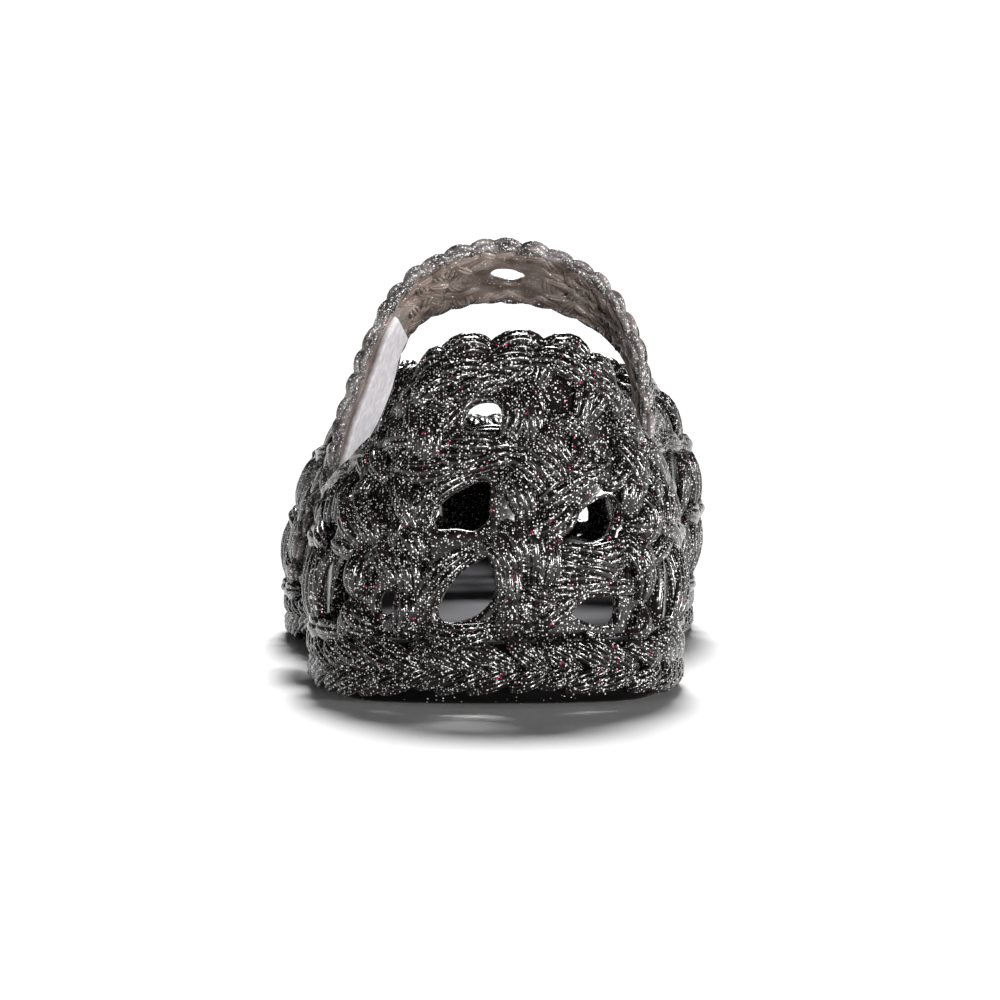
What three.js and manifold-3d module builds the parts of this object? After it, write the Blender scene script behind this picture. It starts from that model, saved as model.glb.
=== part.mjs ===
// A child's left jelly sandal: a moulded openwork upper with an instep strap, sole, insole and tapes.
// Millimetres. +Y points to the toe, +X to the medial (big-toe) side, +Z up. The sole stands on Z = 0.
import * as THREE from 'three';
import { mergeVertices } from 'three/addons/utils/BufferGeometryUtils.js';
import Module from 'manifold-3d';

const wasm = await Module();
wasm.setup();

// Driving dimensions of the last and the sole
const length = 170;
const ballWidth = 70;
const heelWidth = 52;
const heelHeight = 50;
const quarterHeight = 29;
const instepHeight = 46.5;
const soleThickness = 8.4;
const archRise = 2.6;
const toeSpring = 7;
const toeShift = 3.5;

// Driving dimensions of the moulding
const wall = 2.8;
const stripRise = 0.9;
const ropeRadius = 2.1;
const ropePitch = 4.8;
const gapPitch = 10.6;
const gapRowPitch = 12;
const baseBand = 1.4;
const narrowestGapCell = 4.5;
const clearance = 0.3;

// Driving dimensions of the strap and its closure
const strapHeight = 64.5;
const strapSpan = 47;
const strapBack = 45;
const strapRun = 18.5;
const strapThickness = 2.2;
const strapRopeRadius = 1.5;
const strapEndLift = 6;
const tapeThickness = 1.1;
const tapeWidth = 12.4;
const padMargin = 3;

// Driving dimensions of the sole's details
const ribRise = 1.2;
const ribPitch = 9.6;
const treadDepth = 1.1;
const insoleThickness = 2;
const insoleRecess = 1.2;

// The sole's outline: half widths as shares of the width between heel and ball, up the length
const outlineRows = [
  { along: 0.042, medial: 0.8, lateral: 0.81 },
  { along: 0.14, medial: 0.99, lateral: 1.0 },
  { along: 0.28, medial: 0.93, lateral: 1.0 },
  { along: 0.42, medial: 0.82, lateral: 0.97 },
  { along: 0.55, medial: 0.86, lateral: 0.98 },
  { along: 0.66, medial: 0.92, lateral: 0.99 },
  { along: 0.78, medial: 0.92, lateral: 0.91 },
  { along: 0.9, medial: 0.79, lateral: 0.69 },
  { along: 0.972, medial: 0.48, lateral: 0.37 },
];

// The collar and the throat. round: share of the way round from the back of the heel, on either side.
// medial, lateral: side of the top edge as shares of half the heel width. along: share of the length.
// heel, vamp: how far the edge climbs from the quarter to the heel's or the instep's height.
// slope: how much of lateralFall the lateral side takes.
const edgeRows = [
  { round: 0, medial: 0.1, lateral: -0.1, along: 0.032, heel: 1, vamp: 0, slope: 0 },
  { round: 0.027, medial: 0.44, lateral: 0.29, along: 0.036, heel: 0.97, vamp: 0, slope: 0 },
  { round: 0.05, medial: 0.66, lateral: 0.5, along: 0.06, heel: 0.64, vamp: 0, slope: 0 },
  { round: 0.075, medial: 0.82, lateral: 0.72, along: 0.105, heel: 0.27, vamp: 0, slope: 0 },
  { round: 0.105, medial: 0.9, lateral: 0.88, along: 0.172, heel: 0.06, vamp: 0, slope: 0 },
  { round: 0.15, medial: 0.85, lateral: 0.81, along: 0.27, heel: 0, vamp: 0, slope: 0 },
  { round: 0.2, medial: 0.86, lateral: 0.78, along: 0.36, heel: 0, vamp: 0.12, slope: 0.2 },
  { round: 0.245, medial: 0.86, lateral: 0.7, along: 0.43, heel: 0, vamp: 0.66, slope: 0.8 },
  { round: 0.285, medial: 0.64, lateral: 0.51, along: 0.462, heel: 0, vamp: 1, slope: 1 },
  { round: 0.35, medial: 0.42, lateral: 0.42, along: 0.5, heel: 0, vamp: 0.82, slope: 0.7 },
  { round: 0.43, medial: 0.17, lateral: 0.27, along: 0.537, heel: 0, vamp: 0.5, slope: 0.3 },
  { round: 0.5, medial: -0.06, lateral: 0.06, along: 0.55, heel: 0, vamp: 0.42, slope: 0 },
];

// How each section of the upper bulges, at the same shares of the way round.
// swell, rise: handle at the sole, in mm outwards and as a share of the height.
// reach, drop: handle at the top edge, as shares of the way back to the sole and of the height.
const bulgeRows = [
  { round: 0, swell: 1.2, rise: 0.4, reach: 1, drop: 0.35 },
  { round: 0.027, swell: 1.2, rise: 0.4, reach: 1, drop: 0.35 },
  { round: 0.05, swell: 1.2, rise: 0.4, reach: 1, drop: 0.35 },
  { round: 0.075, swell: 1.2, rise: 0.4, reach: 1, drop: 0.4 },
  { round: 0.105, swell: 1.2, rise: 0.4, reach: 1, drop: 0.4 },
  { round: 0.15, swell: 1.2, rise: 0.4, reach: 1, drop: 0.4 },
  { round: 0.2, swell: 3, rise: 0.4, reach: 1, drop: 0.35 },
  { round: 0.245, swell: 5.2, rise: 0.5, reach: 0.95, drop: 0.18 },
  { round: 0.285, swell: 5.6, rise: 0.6, reach: 0.84, drop: 0.05 },
  { round: 0.35, swell: 4.2, rise: 0.62, reach: 0.74, drop: 0 },
  { round: 0.43, swell: 1.8, rise: 0.68, reach: 0.66, drop: -0.06 },
  { round: 0.5, swell: 1.4, rise: 0.7, reach: 0.64, drop: -0.08 },
];

// What the lateral side's flatter vamp takes off the handles, and adds to the drop
const lateralFall = { swell: 0.5, rise: 0.35, reach: 0.3, drop: 0.14 };

// The strap's two edges from the medial quarter over the instep: sides as shares of half the span,
// rises as shares of the climb from the quarter's top to the strap's crown.
const strapRows = [
  { side: 1.02, rise: 0.18, frontSide: 1.02, frontRise: 0.18 },
  { side: 0.99, rise: 0.41, frontSide: 1.0, frontRise: 0.34 },
  { side: 0.91, rise: 0.64, frontSide: 0.95, frontRise: 0.51 },
  { side: 0.71, rise: 0.84, frontSide: 0.77, frontRise: 0.65 },
  { side: 0.4, rise: 0.96, frontSide: 0.44, frontRise: 0.76 },
  { side: 0.07, rise: 1.0, frontSide: 0.07, frontRise: 0.8 },
  { side: -0.28, rise: 0.97, frontSide: -0.26, frontRise: 0.78 },
  { side: -0.58, rise: 0.865, frontSide: -0.55, frontRise: 0.71 },
  { side: -0.8, rise: 0.68, frontSide: -0.7, frontRise: 0.575 },
  { side: -0.94, rise: 0.47, frontSide: -0.78, frontRise: 0.39 },
  { side: -1.05, rise: 0.28, frontSide: -0.92, frontRise: 0.22 },
];

// A gap's corners inside its cell, anticlockwise, as shares of half the cell. They lean to the right.
const gapShape = {
  heel: { across: -0.66, up: -0.64 },
  toe: { across: 0.4, up: -0.62 },
  right: { across: 0.64, up: 0.02 },
  top: { across: 0.54, up: 0.68 },
  peak: { across: 0.08, up: 0.56 },
  left: { across: -0.48, up: -0.1 },
};

// The gap's corner that each of the cell's eight rim points joins
const gapMeets = ['heel', 'toe', 'toe', 'right', 'top', 'peak', 'peak', 'left'];

const mix = THREE.MathUtils.lerp;
const clamp = THREE.MathUtils.clamp;
const ease = THREE.MathUtils.smoothstep;

// A closed skin of triangles whose shared corners are found by their place
class Skin {
  constructor() {
    this.points = [];
    this.faces = [];
    this.known = new Map();
  }

  corner(point) {
    const key = point.toArray().map((value) => Math.round(value * 2000)).join(' ');
    if (!this.known.has(key)) {
      this.known.set(key, this.points.length);
      this.points.push(point);
    }
    return this.known.get(key);
  }

  triangle(a, b, c) {
    const face = [this.corner(a), this.corner(b), this.corner(c)];
    if (new Set(face).size === 3) this.faces.push(face);
  }

  quad(a, b, c, d) {
    this.triangle(a, b, c);
    this.triangle(a, c, d);
  }

  volume() {
    const cross = new THREE.Vector3();
    return this.faces.reduce((sum, [a, b, c]) => {
      cross.crossVectors(this.points[b], this.points[c]);
      return sum + this.points[a].dot(cross) / 6;
    }, 0);
  }

  geometry() {
    if (this.volume() < 0) this.faces.forEach((face) => face.reverse());
    const geometry = new THREE.BufferGeometry();
    const places = new Float32Array(this.points.flatMap((point) => point.toArray()));
    geometry.setAttribute('position', new THREE.BufferAttribute(places, 3));
    geometry.setIndex(this.faces.flat());
    return geometry;
  }
}

function manifoldOf(geometry) {
  const bare = geometry.clone();
  bare.deleteAttribute('normal');
  bare.deleteAttribute('uv');
  const merged = mergeVertices(bare, 1e-4);
  const vertProperties = new Float32Array(merged.attributes.position.array);
  const triVerts = new Uint32Array(merged.index.array);
  return new wasm.Manifold(new wasm.Mesh({ numProp: 3, vertProperties, triVerts }));
}

function geometryOf(manifold) {
  const mesh = manifold.getMesh();
  const geometry = new THREE.BufferGeometry();
  geometry.setAttribute('position', new THREE.BufferAttribute(new Float32Array(mesh.vertProperties), 3));
  geometry.setIndex(new THREE.BufferAttribute(new Uint32Array(mesh.triVerts), 1));
  return geometry;
}

// The plan outline as one closed curve: heel, medial side, toe, lateral side
function makeOutline() {
  const side = (sign, column) => outlineRows.map((row) => {
    const width = mix(heelWidth, ballWidth, ease(row.along, 0.3, 0.62));
    return new THREE.Vector3(sign * row[column] * width / 2, row.along * length, 0);
  });
  const heel = new THREE.Vector3(0, 0, 0);
  const toe = new THREE.Vector3(toeShift, length, 0);
  const points = [heel, ...side(1, 'medial'), toe, ...side(-1, 'lateral').reverse()];
  const curve = new THREE.CatmullRomCurve3(points, true, 'centripetal');
  curve.arcLengthDivisions = 800;
  return curve;
}

const outline = makeOutline();
const girth = outline.getLength();

function outlineAt(round, inset) {
  const share = THREE.MathUtils.euclideanModulo(round, 1);
  const point = outline.getPointAt(share);
  const tangent = outline.getTangentAt(share);
  return new THREE.Vector3(point.x - tangent.y * inset, point.y + tangent.x * inset, 0);
}

// The share of the way round at which the outline passes a place along the shoe
function roundAt(along, medial) {
  let low = 0;
  let high = 0.5;
  for (let step = 0; step < 30; step += 1) {
    const middle = (low + high) / 2;
    const y = outline.getPointAt(medial ? middle : 1 - middle).y;
    if (y < along) low = middle;
    else high = middle;
  }
  return medial ? low : 1 - low;
}

// Where toe spring, arch and heel bevel lie, as shares of the length
const springFrom = 0.76;
const archFrom = 0.31;
const archTo = 0.57;
const heelBevelTo = 0.045;

// The sole is thinner under the forefoot by this share, eased in between two shares of the length
const thinner = { by: 0.12, from: 0.3, to: 0.6 };

// Height of the sole's underside and of its rim, along the shoe
function springAt(y) {
  return toeSpring * clamp((y / length - springFrom) / (1 - springFrom), 0, 1) ** 2;
}

function underAt(y) {
  const arch = Math.sin(Math.PI * clamp((y / length - archFrom) / (archTo - archFrom), 0, 1)) ** 2;
  const heelBevel = clamp(1 - y / (heelBevelTo * length), 0, 1) ** 2;
  return springAt(y) + archRise * arch + 0.5 * treadDepth * heelBevel;
}

function rimAt(y) {
  return springAt(y) + soleThickness * (1 - thinner.by * ease(y / length, thinner.from, thinner.to));
}

// The upper's sections as one full turn, medial rows first
const sectionAt = (edge, index, sign) => {
  const bulge = bulgeRows[index];
  const side = sign > 0 ? edge.medial : edge.lateral;
  const fall = sign > 0 ? 0 : edge.slope;
  const climb = edge.heel * (heelHeight - quarterHeight) + edge.vamp * (instepHeight - quarterHeight);
  return {
    round: sign > 0 ? edge.round : 1 - edge.round,
    x: sign * side * heelWidth / 2,
    y: edge.along * length,
    z: quarterHeight - ropeRadius + climb,
    swell: bulge.swell * (1 - lateralFall.swell * fall),
    rise: bulge.rise * (1 - lateralFall.rise * fall),
    reach: bulge.reach * (1 - lateralFall.reach * fall),
    drop: bulge.drop + lateralFall.drop * fall,
  };
};
const medialSections = edgeRows.map((edge, index) => sectionAt(edge, index, 1));
const lateralSections = edgeRows.map((edge, index) => sectionAt(edge, index, -1));
const sections = [...medialSections, ...lateralSections.slice(1, -1).reverse()];

// A smooth value between the rows of the turn
function between(column, round) {
  const count = sections.length;
  const value = (index) => sections[(index + count) % count][column];
  const place = (index) => sections[(index + count) % count].round + Math.floor(index / count);
  let row = 0;
  while (place(row + 1) <= round) row += 1;
  const span = place(row + 1) - place(row);
  const share = (round - place(row)) / span;
  const slope = (index) => (value(index + 1) - value(index - 1)) / (place(index + 1) - place(index - 1));
  const start = slope(row) * span;
  const end = slope(row + 1) * span;
  const step = value(row + 1) - value(row);
  return value(row) + start * share + (3 * step - 2 * start - end) * share ** 2
    + (start + end - 2 * step) * share ** 3;
}

const profiles = new Map();

// One section of the upper's outer face, from the sole's rim to the collar or throat
function profileAt(roundIn) {
  const round = THREE.MathUtils.euclideanModulo(roundIn, 1);
  const key = Math.round(round * 1e6);
  if (!profiles.has(key)) {
    const base = outlineAt(round, stripRise);
    base.z = rimAt(base.y) + clearance;
    const top = new THREE.Vector3(between('x', round), between('y', round), between('z', round));
    const height = top.z - base.z;
    const outward = outlineAt(round, 0).sub(outlineAt(round, 1));
    const low = base.clone().addScaledVector(outward, between('swell', round));
    low.z += between('rise', round) * height;
    const high = top.clone().lerp(base, between('reach', round));
    high.z = top.z - between('drop', round) * height;
    const curve = new THREE.CubicBezierCurve3(base, low, high, top);
    curve.arcLengthDivisions = 60;
    profiles.set(key, { curve, climb: curve.getLength() });
  }
  return profiles.get(key);
}

function facePoint(round, climb) {
  const profile = profileAt(round);
  return profile.curve.getPointAt(clamp(climb / profile.climb, 0, 1));
}

function faceNormal(round, climb) {
  const reach = clamp(climb, 0.6, profileAt(round).climb - 0.6);
  const turn = facePoint(round + 0.002, reach).sub(facePoint(round - 0.002, reach));
  const up = facePoint(round, reach + 0.5).sub(facePoint(round, reach - 0.5));
  return turn.cross(up).normalize();
}

function wallPoint(round, climb, out) {
  return facePoint(round, climb).addScaledVector(faceNormal(round, climb), out);
}

// A wall of cells, each solid or with a gap. place(column, row, depth, raised) gives a corner.
function latticeSkin(columns, rows, turns, place, hasGap) {
  const skin = new Skin();
  const rim = [[0, 0], [0.5, 0], [1, 0], [1, 0.5], [1, 1], [0.5, 1], [0, 1], [0, 0.5]];
  for (let column = 0; column < columns; column += 1) {
    for (let row = 0; row < rows; row += 1) {
      const corners = (depth) => rim.map(([a, b]) => place(column + a, row + b, depth, true));
      const outer = corners('outer');
      const inner = corners('inner');
      const gap = hasGap(column, row);
      const middle = (depth) => gapMeets.map((corner) => {
        const { across, up } = gapShape[corner];
        return place(column + 0.5 + across / 2, row + 0.5 + up / 2, depth, false);
      });
      const centre = (depth) => place(column + 0.5, row + 0.5, depth, false);
      const outerGap = gap ? middle('outer') : rim.map(() => centre('outer'));
      const innerGap = gap ? middle('inner') : rim.map(() => centre('inner'));
      const free = [row === 0, !turns && column === columns - 1, row === rows - 1, !turns && column === 0];
      for (let side = 0; side < rim.length; side += 1) {
        const next = (side + 1) % rim.length;
        skin.quad(outer[side], outer[next], outerGap[next], outerGap[side]);
        skin.quad(inner[next], inner[side], innerGap[side], innerGap[next]);
        if (gap) skin.quad(outerGap[side], outerGap[next], innerGap[next], innerGap[side]);
        if (free[Math.floor(side / 2)]) skin.quad(outer[next], outer[side], inner[side], inner[next]);
      }
    }
  }
  return skin;
}

// A rope's ring is a polygon that is wider at each stitch and narrower between two
const ropeSides = 5;
const stitchSwell = 1.12;
const stitchNeck = 0.84;

// A rope of stitches: rings that swell and narrow along a line of places with their outward direction
function ropeSkin(stops, closed, radius) {
  const skin = new Skin();
  const sides = ropeSides;
  const count = stops.length;
  const rings = stops.map((stop, index) => {
    const before = stops[closed ? (index + count - 1) % count : Math.max(index - 1, 0)].centre;
    const after = stops[closed ? (index + 1) % count : Math.min(index + 1, count - 1)].centre;
    const tangent = after.clone().sub(before).normalize();
    const across = stop.out.clone().cross(tangent).normalize();
    const out = tangent.clone().cross(across);
    const size = radius * (index % 2 ? stitchSwell : stitchNeck);
    return Array.from({ length: sides }, (_, corner) => {
      const angle = 2 * Math.PI * (corner + 0.5) / sides;
      return stop.centre.clone()
        .addScaledVector(out, size * Math.cos(angle))
        .addScaledVector(across, size * Math.sin(angle));
    });
  });
  for (let index = 0; index < (closed ? count : count - 1); index += 1) {
    const ring = rings[index];
    const next = rings[(index + 1) % count];
    ring.forEach((point, corner) => {
      const other = (corner + 1) % sides;
      skin.quad(point, ring[other], next[other], next[corner]);
    });
  }
  if (!closed) {
    for (let corner = 1; corner < sides - 1; corner += 1) {
      skin.triangle(rings[0][0], rings[0][corner + 1], rings[0][corner]);
      skin.triangle(rings[count - 1][0], rings[count - 1][corner], rings[count - 1][corner + 1]);
    }
  }
  return skin;
}

// The lateral quarter is smooth and closed under the strap's end, where the loop tape sits
const padFrom = strapBack - padMargin;
const padTo = strapBack + strapRun + padMargin;
const isPad = (point) => point.x < 0 && point.y > padFrom && point.y < padTo;

// The rows of gaps, how much taller they are over the toe, and how many stay closed at heel and toe
const gapRows = 5;
const toeStretch = { by: 0.22, from: 0.3, to: 0.5 };
const closedHeelRows = 3;
const closedToeRows = 1;

// The wall of the vamp, quarters and counter
function wallSkin() {
  const columns = 2 * Math.round(girth / gapPitch / 2);
  const rows = gapRows + 1;
  const climbAt = (round, row) => {
    const stretch = 1 + toeStretch.by * ease(0.5 - Math.abs(round - 0.5), toeStretch.from, toeStretch.to);
    const line = (index) => (index ? baseBand + index * gapRowPitch * stretch : 0);
    const whole = Math.floor(row);
    const full = profileAt(round).climb;
    const low = Math.min(line(whole), full);
    const high = whole + 1 >= rows ? full : Math.min(line(whole + 1), full);
    return whole === rows ? full : mix(low, high, row - whole);
  };
  const place = (column, row, depth, raised) => {
    const round = column / columns;
    const climb = climbAt(round, row);
    const edge = climb < 0.01 || climb > profileAt(round).climb - 0.01;
    const lift = raised && !edge && !isPad(facePoint(round, climb)) ? stripRise : 0;
    return wallPoint(round, climb, depth === 'outer' ? lift : -wall);
  };
  const hasGap = (column, row) => {
    const rounds = [column, column + 0.5, column + 1].map((value) => value / columns);
    const below = (round) => profileAt(round).climb - climbAt(round, row + 1);
    const whole = rounds.every((round) => below(round) > 0.3 * ropeRadius);
    const left = place(column, row + 1, 'outer', false);
    const right = place(column + 1, row + 1, 'outer', false);
    const heelSeam = column === 0 && row < closedHeelRows;
    const toeSeam = Math.abs(column + 0.5 - columns / 2) < 1 && row < closedToeRows;
    const wide = left.distanceTo(right) > narrowestGapCell;
    return row < gapRows && whole && wide && !heelSeam && !toeSeam && !isPad(left.lerp(right, 0.5));
  };
  return latticeSkin(columns, rows, true, place, hasGap);
}

// The rope along the collar and the throat
function collarRope() {
  const coarse = 400;
  let run = 0;
  const lengths = Array.from({ length: coarse + 1 }, (_, index) => {
    const here = facePoint(index / coarse, Infinity);
    if (index) run += here.distanceTo(facePoint((index - 1) / coarse, Infinity));
    return run;
  });
  const count = 2 * Math.round(run / ropePitch);
  const stops = Array.from({ length: count }, (_, index) => {
    const target = run * index / count;
    const after = lengths.findIndex((value) => value > target);
    const share = (target - lengths[after - 1]) / (lengths[after] - lengths[after - 1]);
    const round = (after - 1 + share) / coarse;
    return { centre: wallPoint(round, Infinity, -wall / 2), out: faceNormal(round, Infinity) };
  });
  return ropeSkin(stops, true, ropeRadius);
}

// What the two tapes and their gaps take up between quarter and strap
const tapeStack = 2 * tapeThickness + 4 * clearance;

// One edge of the strap, from the medial quarter to the free lateral end
function strapEdge(y, sideColumn, riseColumn) {
  const medial = roundAt(y, true);
  const lateral = roundAt(y, false);
  const outside = tapeStack + strapThickness / 2;
  const foot = profileAt(medial).climb;
  const shin = profileAt(lateral).climb;
  const crown = strapHeight - strapRopeRadius;
  const halfSpan = strapSpan / 2 - strapRopeRadius;
  const low = quarterHeight - ropeRadius;
  const end = strapEndLift;
  const points = [
    wallPoint(medial, foot - 2 * ropeRadius, -wall / 2),
    wallPoint(medial, foot, -wall / 2),
    ...strapRows.map((row) => (
      new THREE.Vector3(row[sideColumn] * halfSpan, y, mix(low, crown, row[riseColumn])))),
    wallPoint(lateral, shin, outside),
    wallPoint(lateral, (shin + end) / 2, outside),
    wallPoint(lateral, end, outside),
  ];
  return new THREE.CatmullRomCurve3(points, false, 'centripetal');
}

// The share of a curve's length at which a measure is least
function nearestShare(curve, measure) {
  const steps = 200;
  const values = curve.getSpacedPoints(steps).map(measure);
  return values.indexOf(Math.min(...values)) / steps;
}

const strapRear = strapEdge(strapBack, 'side', 'rise');
const strapFront = strapEdge(strapBack + strapRun, 'frontSide', 'frontRise');

function strapPoint(share, across, out) {
  const at = (along, side) => {
    const step = strapRear.getUtoTmapping(clamp(along, 0, 1));
    return strapRear.getPoint(step).lerp(strapFront.getPoint(step), side);
  };
  const forward = at(share, 1).sub(at(share, 0));
  const along = at(share + 0.01, across).sub(at(share - 0.01, across));
  const normal = forward.cross(along).normalize();
  return at(share, across).addScaledVector(normal, out);
}

const strapCells = Math.round(strapRear.getLength() / gapPitch);
const crownShare = nearestShare(strapRear, (point) => -point.z);

// The strap's cells lie in three rows, and only the middle one at the crown is open
const strapCellRows = 3;
const crownCell = Math.floor(strapCells * crownShare);

function strapSkin() {
  const place = (column, row, depth, raised) => {
    const inner = row > 0 && row < strapCellRows;
    const lift = raised && inner ? stripRise : 0;
    const out = depth === 'outer' ? strapThickness / 2 + lift : -strapThickness / 2;
    return strapPoint(column / strapCells, row / strapCellRows, out);
  };
  const hasGap = (column, row) => column === crownCell && row === 1;
  return latticeSkin(strapCells, strapCellRows, false, place, hasGap);
}

// The ropes along the strap's two edges and across its free end
function strapRopes() {
  const edge = (across) => {
    const count = 2 * Math.round(strapRear.getLength() / ropePitch) + 1;
    return Array.from({ length: count }, (_, index) => {
      const share = index / (count - 1);
      const centre = strapPoint(share, across, 0);
      return { centre, out: strapPoint(share, across, 1).sub(centre) };
    });
  };
  const tip = () => {
    const count = 2 * Math.round(strapRun / ropePitch) + 1;
    return Array.from({ length: count }, (_, index) => {
      const centre = strapPoint(1, index / (count - 1), 0);
      return { centre, out: strapPoint(1, index / (count - 1), 1).sub(centre) };
    });
  };
  return [edge(0), edge(1), tip()].map((stops) => ropeSkin(stops, false, strapRopeRadius));
}

function makeUpper() {
  const skins = [wallSkin(), collarRope(), strapSkin(), ...strapRopes()];
  const solids = skins.map((skin) => manifoldOf(skin.geometry()));
  return geometryOf(solids.reduce((whole, solid) => whole.add(solid)));
}

// A slab inside the outline: rings from its lower edge to its upper edge, closed by rungs across
function slabSkin(count, rings, lowerAt, upperAt) {
  const skin = new Skin();
  const half = count / 2;
  const hoops = rings.map((ring) => Array.from({ length: count }, (_, index) => ring(index / count, index)));
  hoops.slice(1).forEach((hoop, level) => {
    const under = hoops[level];
    hoop.forEach((point, index) => {
      const next = (index + 1) % count;
      skin.quad(under[index], under[next], hoop[next], point);
    });
  });
  const across = [0, 1 / 3, 2 / 3, 1];
  const rungs = (hoop, heightAt) => Array.from({ length: half + 1 }, (_, index) => across.map((share) => {
    const start = hoop[index];
    const end = hoop[(count - index) % count];
    const point = start.clone().lerp(end, share);
    if (share > 0 && share < 1) point.z = heightAt(point.y, index);
    return index % half ? point : start;
  }));
  const cover = (rows, flip) => rows.slice(1).forEach((row, index) => {
    for (let step = 1; step < across.length; step += 1) {
      const [a, b, c, d] = [rows[index][step - 1], rows[index][step], row[step], row[step - 1]];
      if (flip) skin.quad(a, d, c, b);
      else skin.quad(a, b, c, d);
    }
  });
  cover(rungs(hoops[0], lowerAt), false);
  cover(rungs(hoops[hoops.length - 1], upperAt), true);
  return skin;
}

const ledge = stripRise + wall + 1;

// The flat spots under heel and forefoot, as shares of the length
const flatSpots = [{ from: 0.06, to: 0.28 }, { from: 0.61, to: 0.72 }];

// The sole's side from its underside up: inset in mm, share of the rise and share of the rib's rise
const sideRows = [
  { inset: 3.4, rise: 0, rib: 0 },
  { inset: 1.5, rise: 0.2, rib: 0 },
  { inset: 0.6, rise: 0.6, rib: 1 },
  { inset: 0.9, rise: 0.9, rib: 0.5 },
  { inset: 1.6, rise: 1, rib: 0 },
  { inset: ledge, rise: 1, rib: 0 },
];

function makeSole() {
  const count = 4 * Math.round(girth / ribPitch / 2);
  const hoop = (inset, rise, swell) => (round, index) => {
    const point = outlineAt(round, inset - (index % 2 ? swell : 0));
    point.z = mix(underAt(point.y), rimAt(point.y), rise);
    return point;
  };
  const recess = (round) => {
    const point = outlineAt(round, ledge + clearance);
    point.z = rimAt(point.y) - insoleRecess;
    return point;
  };
  const rings = [...sideRows.map((row) => hoop(row.inset, row.rise, row.rib * ribRise)), recess];
  const onPad = (y) => flatSpots.some(({ from, to }) => y > from * length && y < to * length);
  const treadAt = (y, index) => underAt(y) + (index % 3 === 0 && !onPad(y) ? treadDepth : 0);
  const bedAt = (y) => rimAt(y) - insoleRecess;
  return slabSkin(count, rings, treadAt, bedAt).geometry();
}

// The footbed's rounded edge and shallow dish, and its corners round the outline
const insoleEdge = 0.7;
const insoleDish = 0.3;
const insoleCorners = 40;

function makeInsole() {
  const bottom = (y) => rimAt(y) - insoleRecess + clearance;
  const hoop = (inset, rise) => (round) => {
    const point = outlineAt(round, ledge + 2 * clearance + inset);
    point.z = bottom(point.y) + rise;
    return point;
  };
  const rings = [hoop(0, 0), hoop(0, insoleThickness - insoleEdge), hoop(insoleEdge, insoleThickness)];
  const top = (y) => bottom(y) + insoleThickness - insoleDish;
  return slabSkin(insoleCorners, rings, bottom, top).geometry();
}

// A thin tape between two shares of a surface, laid off it by a depth
function tapeSkin(steps, place) {
  const skin = new Skin();
  const rows = Array.from({ length: steps + 1 }, (_, index) => {
    const share = index / steps;
    return [[0, 0], [0.5, 0], [1, 0], [1, 1], [0.5, 1], [0, 1]].map(([across, depth]) => (
      place(share, across, depth)));
  });
  rows.slice(1).forEach((row, index) => {
    row.forEach((point, corner) => {
      const next = (corner + 1) % row.length;
      skin.quad(rows[index][corner], rows[index][next], row[next], point);
    });
  });
  const [a, b, c, d, e, f] = rows[0];
  skin.quad(f, e, b, a);
  skin.quad(e, d, c, b);
  const [g, h, i, j, k, l] = rows[steps];
  skin.quad(g, h, k, l);
  skin.quad(h, i, j, k);
  return skin;
}

// The hook tape's steps fall on the strap's own half cells
const tapeHalfCells = 6;

function makeHookTape() {
  const to = 1 - 0.5 / strapCells;
  const from = to - tapeHalfCells / (2 * strapCells);
  const margin = (1 - tapeWidth / strapRun) / 2;
  const place = (share, across, depth) => {
    const out = -strapThickness / 2 - 2 * clearance - depth * tapeThickness;
    return strapPoint(mix(from, to, share), mix(margin, 1 - margin, across), out);
  };
  return tapeSkin(tapeHalfCells, place).geometry();
}

function makeLoopTape() {
  const middle = strapBack + strapRun / 2;
  const place = (share, across, depth) => {
    const y = middle + (across - 0.5) * tapeWidth;
    const round = roundAt(y, false);
    const top = profileAt(round).climb - 2.2 * ropeRadius;
    return wallPoint(round, mix(top, strapEndLift, share), clearance + depth * tapeThickness);
  };
  return tapeSkin(4, place).geometry();
}

const finishes = {
  glitter: { color: 0x5f5a5c, roughness: 0.32, metalness: 0.1 },
  footbed: { color: 0x77767a, roughness: 0.55, metalness: 0 },
  tape: { color: 0xcbc5c9, roughness: 0.8, metalness: 0 },
};

function part(name, geometry, finish) {
  const mesh = new THREE.Mesh(geometry, new THREE.MeshStandardMaterial(finish));
  mesh.name = name;
  return mesh;
}

const sandal = new THREE.Group();
sandal.add(
  part('upper', makeUpper(), finishes.glitter),
  part('sole', makeSole(), finishes.glitter),
  part('insole', makeInsole(), finishes.footbed),
  part('hook_tape', makeHookTape(), finishes.tape),
  part('loop_tape', makeLoopTape(), finishes.tape),
);

// The origin is under the middle of the whole shoe
const box = new THREE.Box3().setFromObject(sandal);
const middle = box.getCenter(new THREE.Vector3());
sandal.position.set(-middle.x, -middle.y, -box.min.z);
sandal.updateMatrixWorld(true);

export default sandal;
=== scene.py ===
"""A child's left jelly sandal in glitter PVC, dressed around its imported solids.

Metres. +Y points to the toe, +X to the medial (big-toe) side and +Z up.
"""

import logging
import math
import random
from collections.abc import Callable
from dataclasses import dataclass
from enum import Enum

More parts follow.
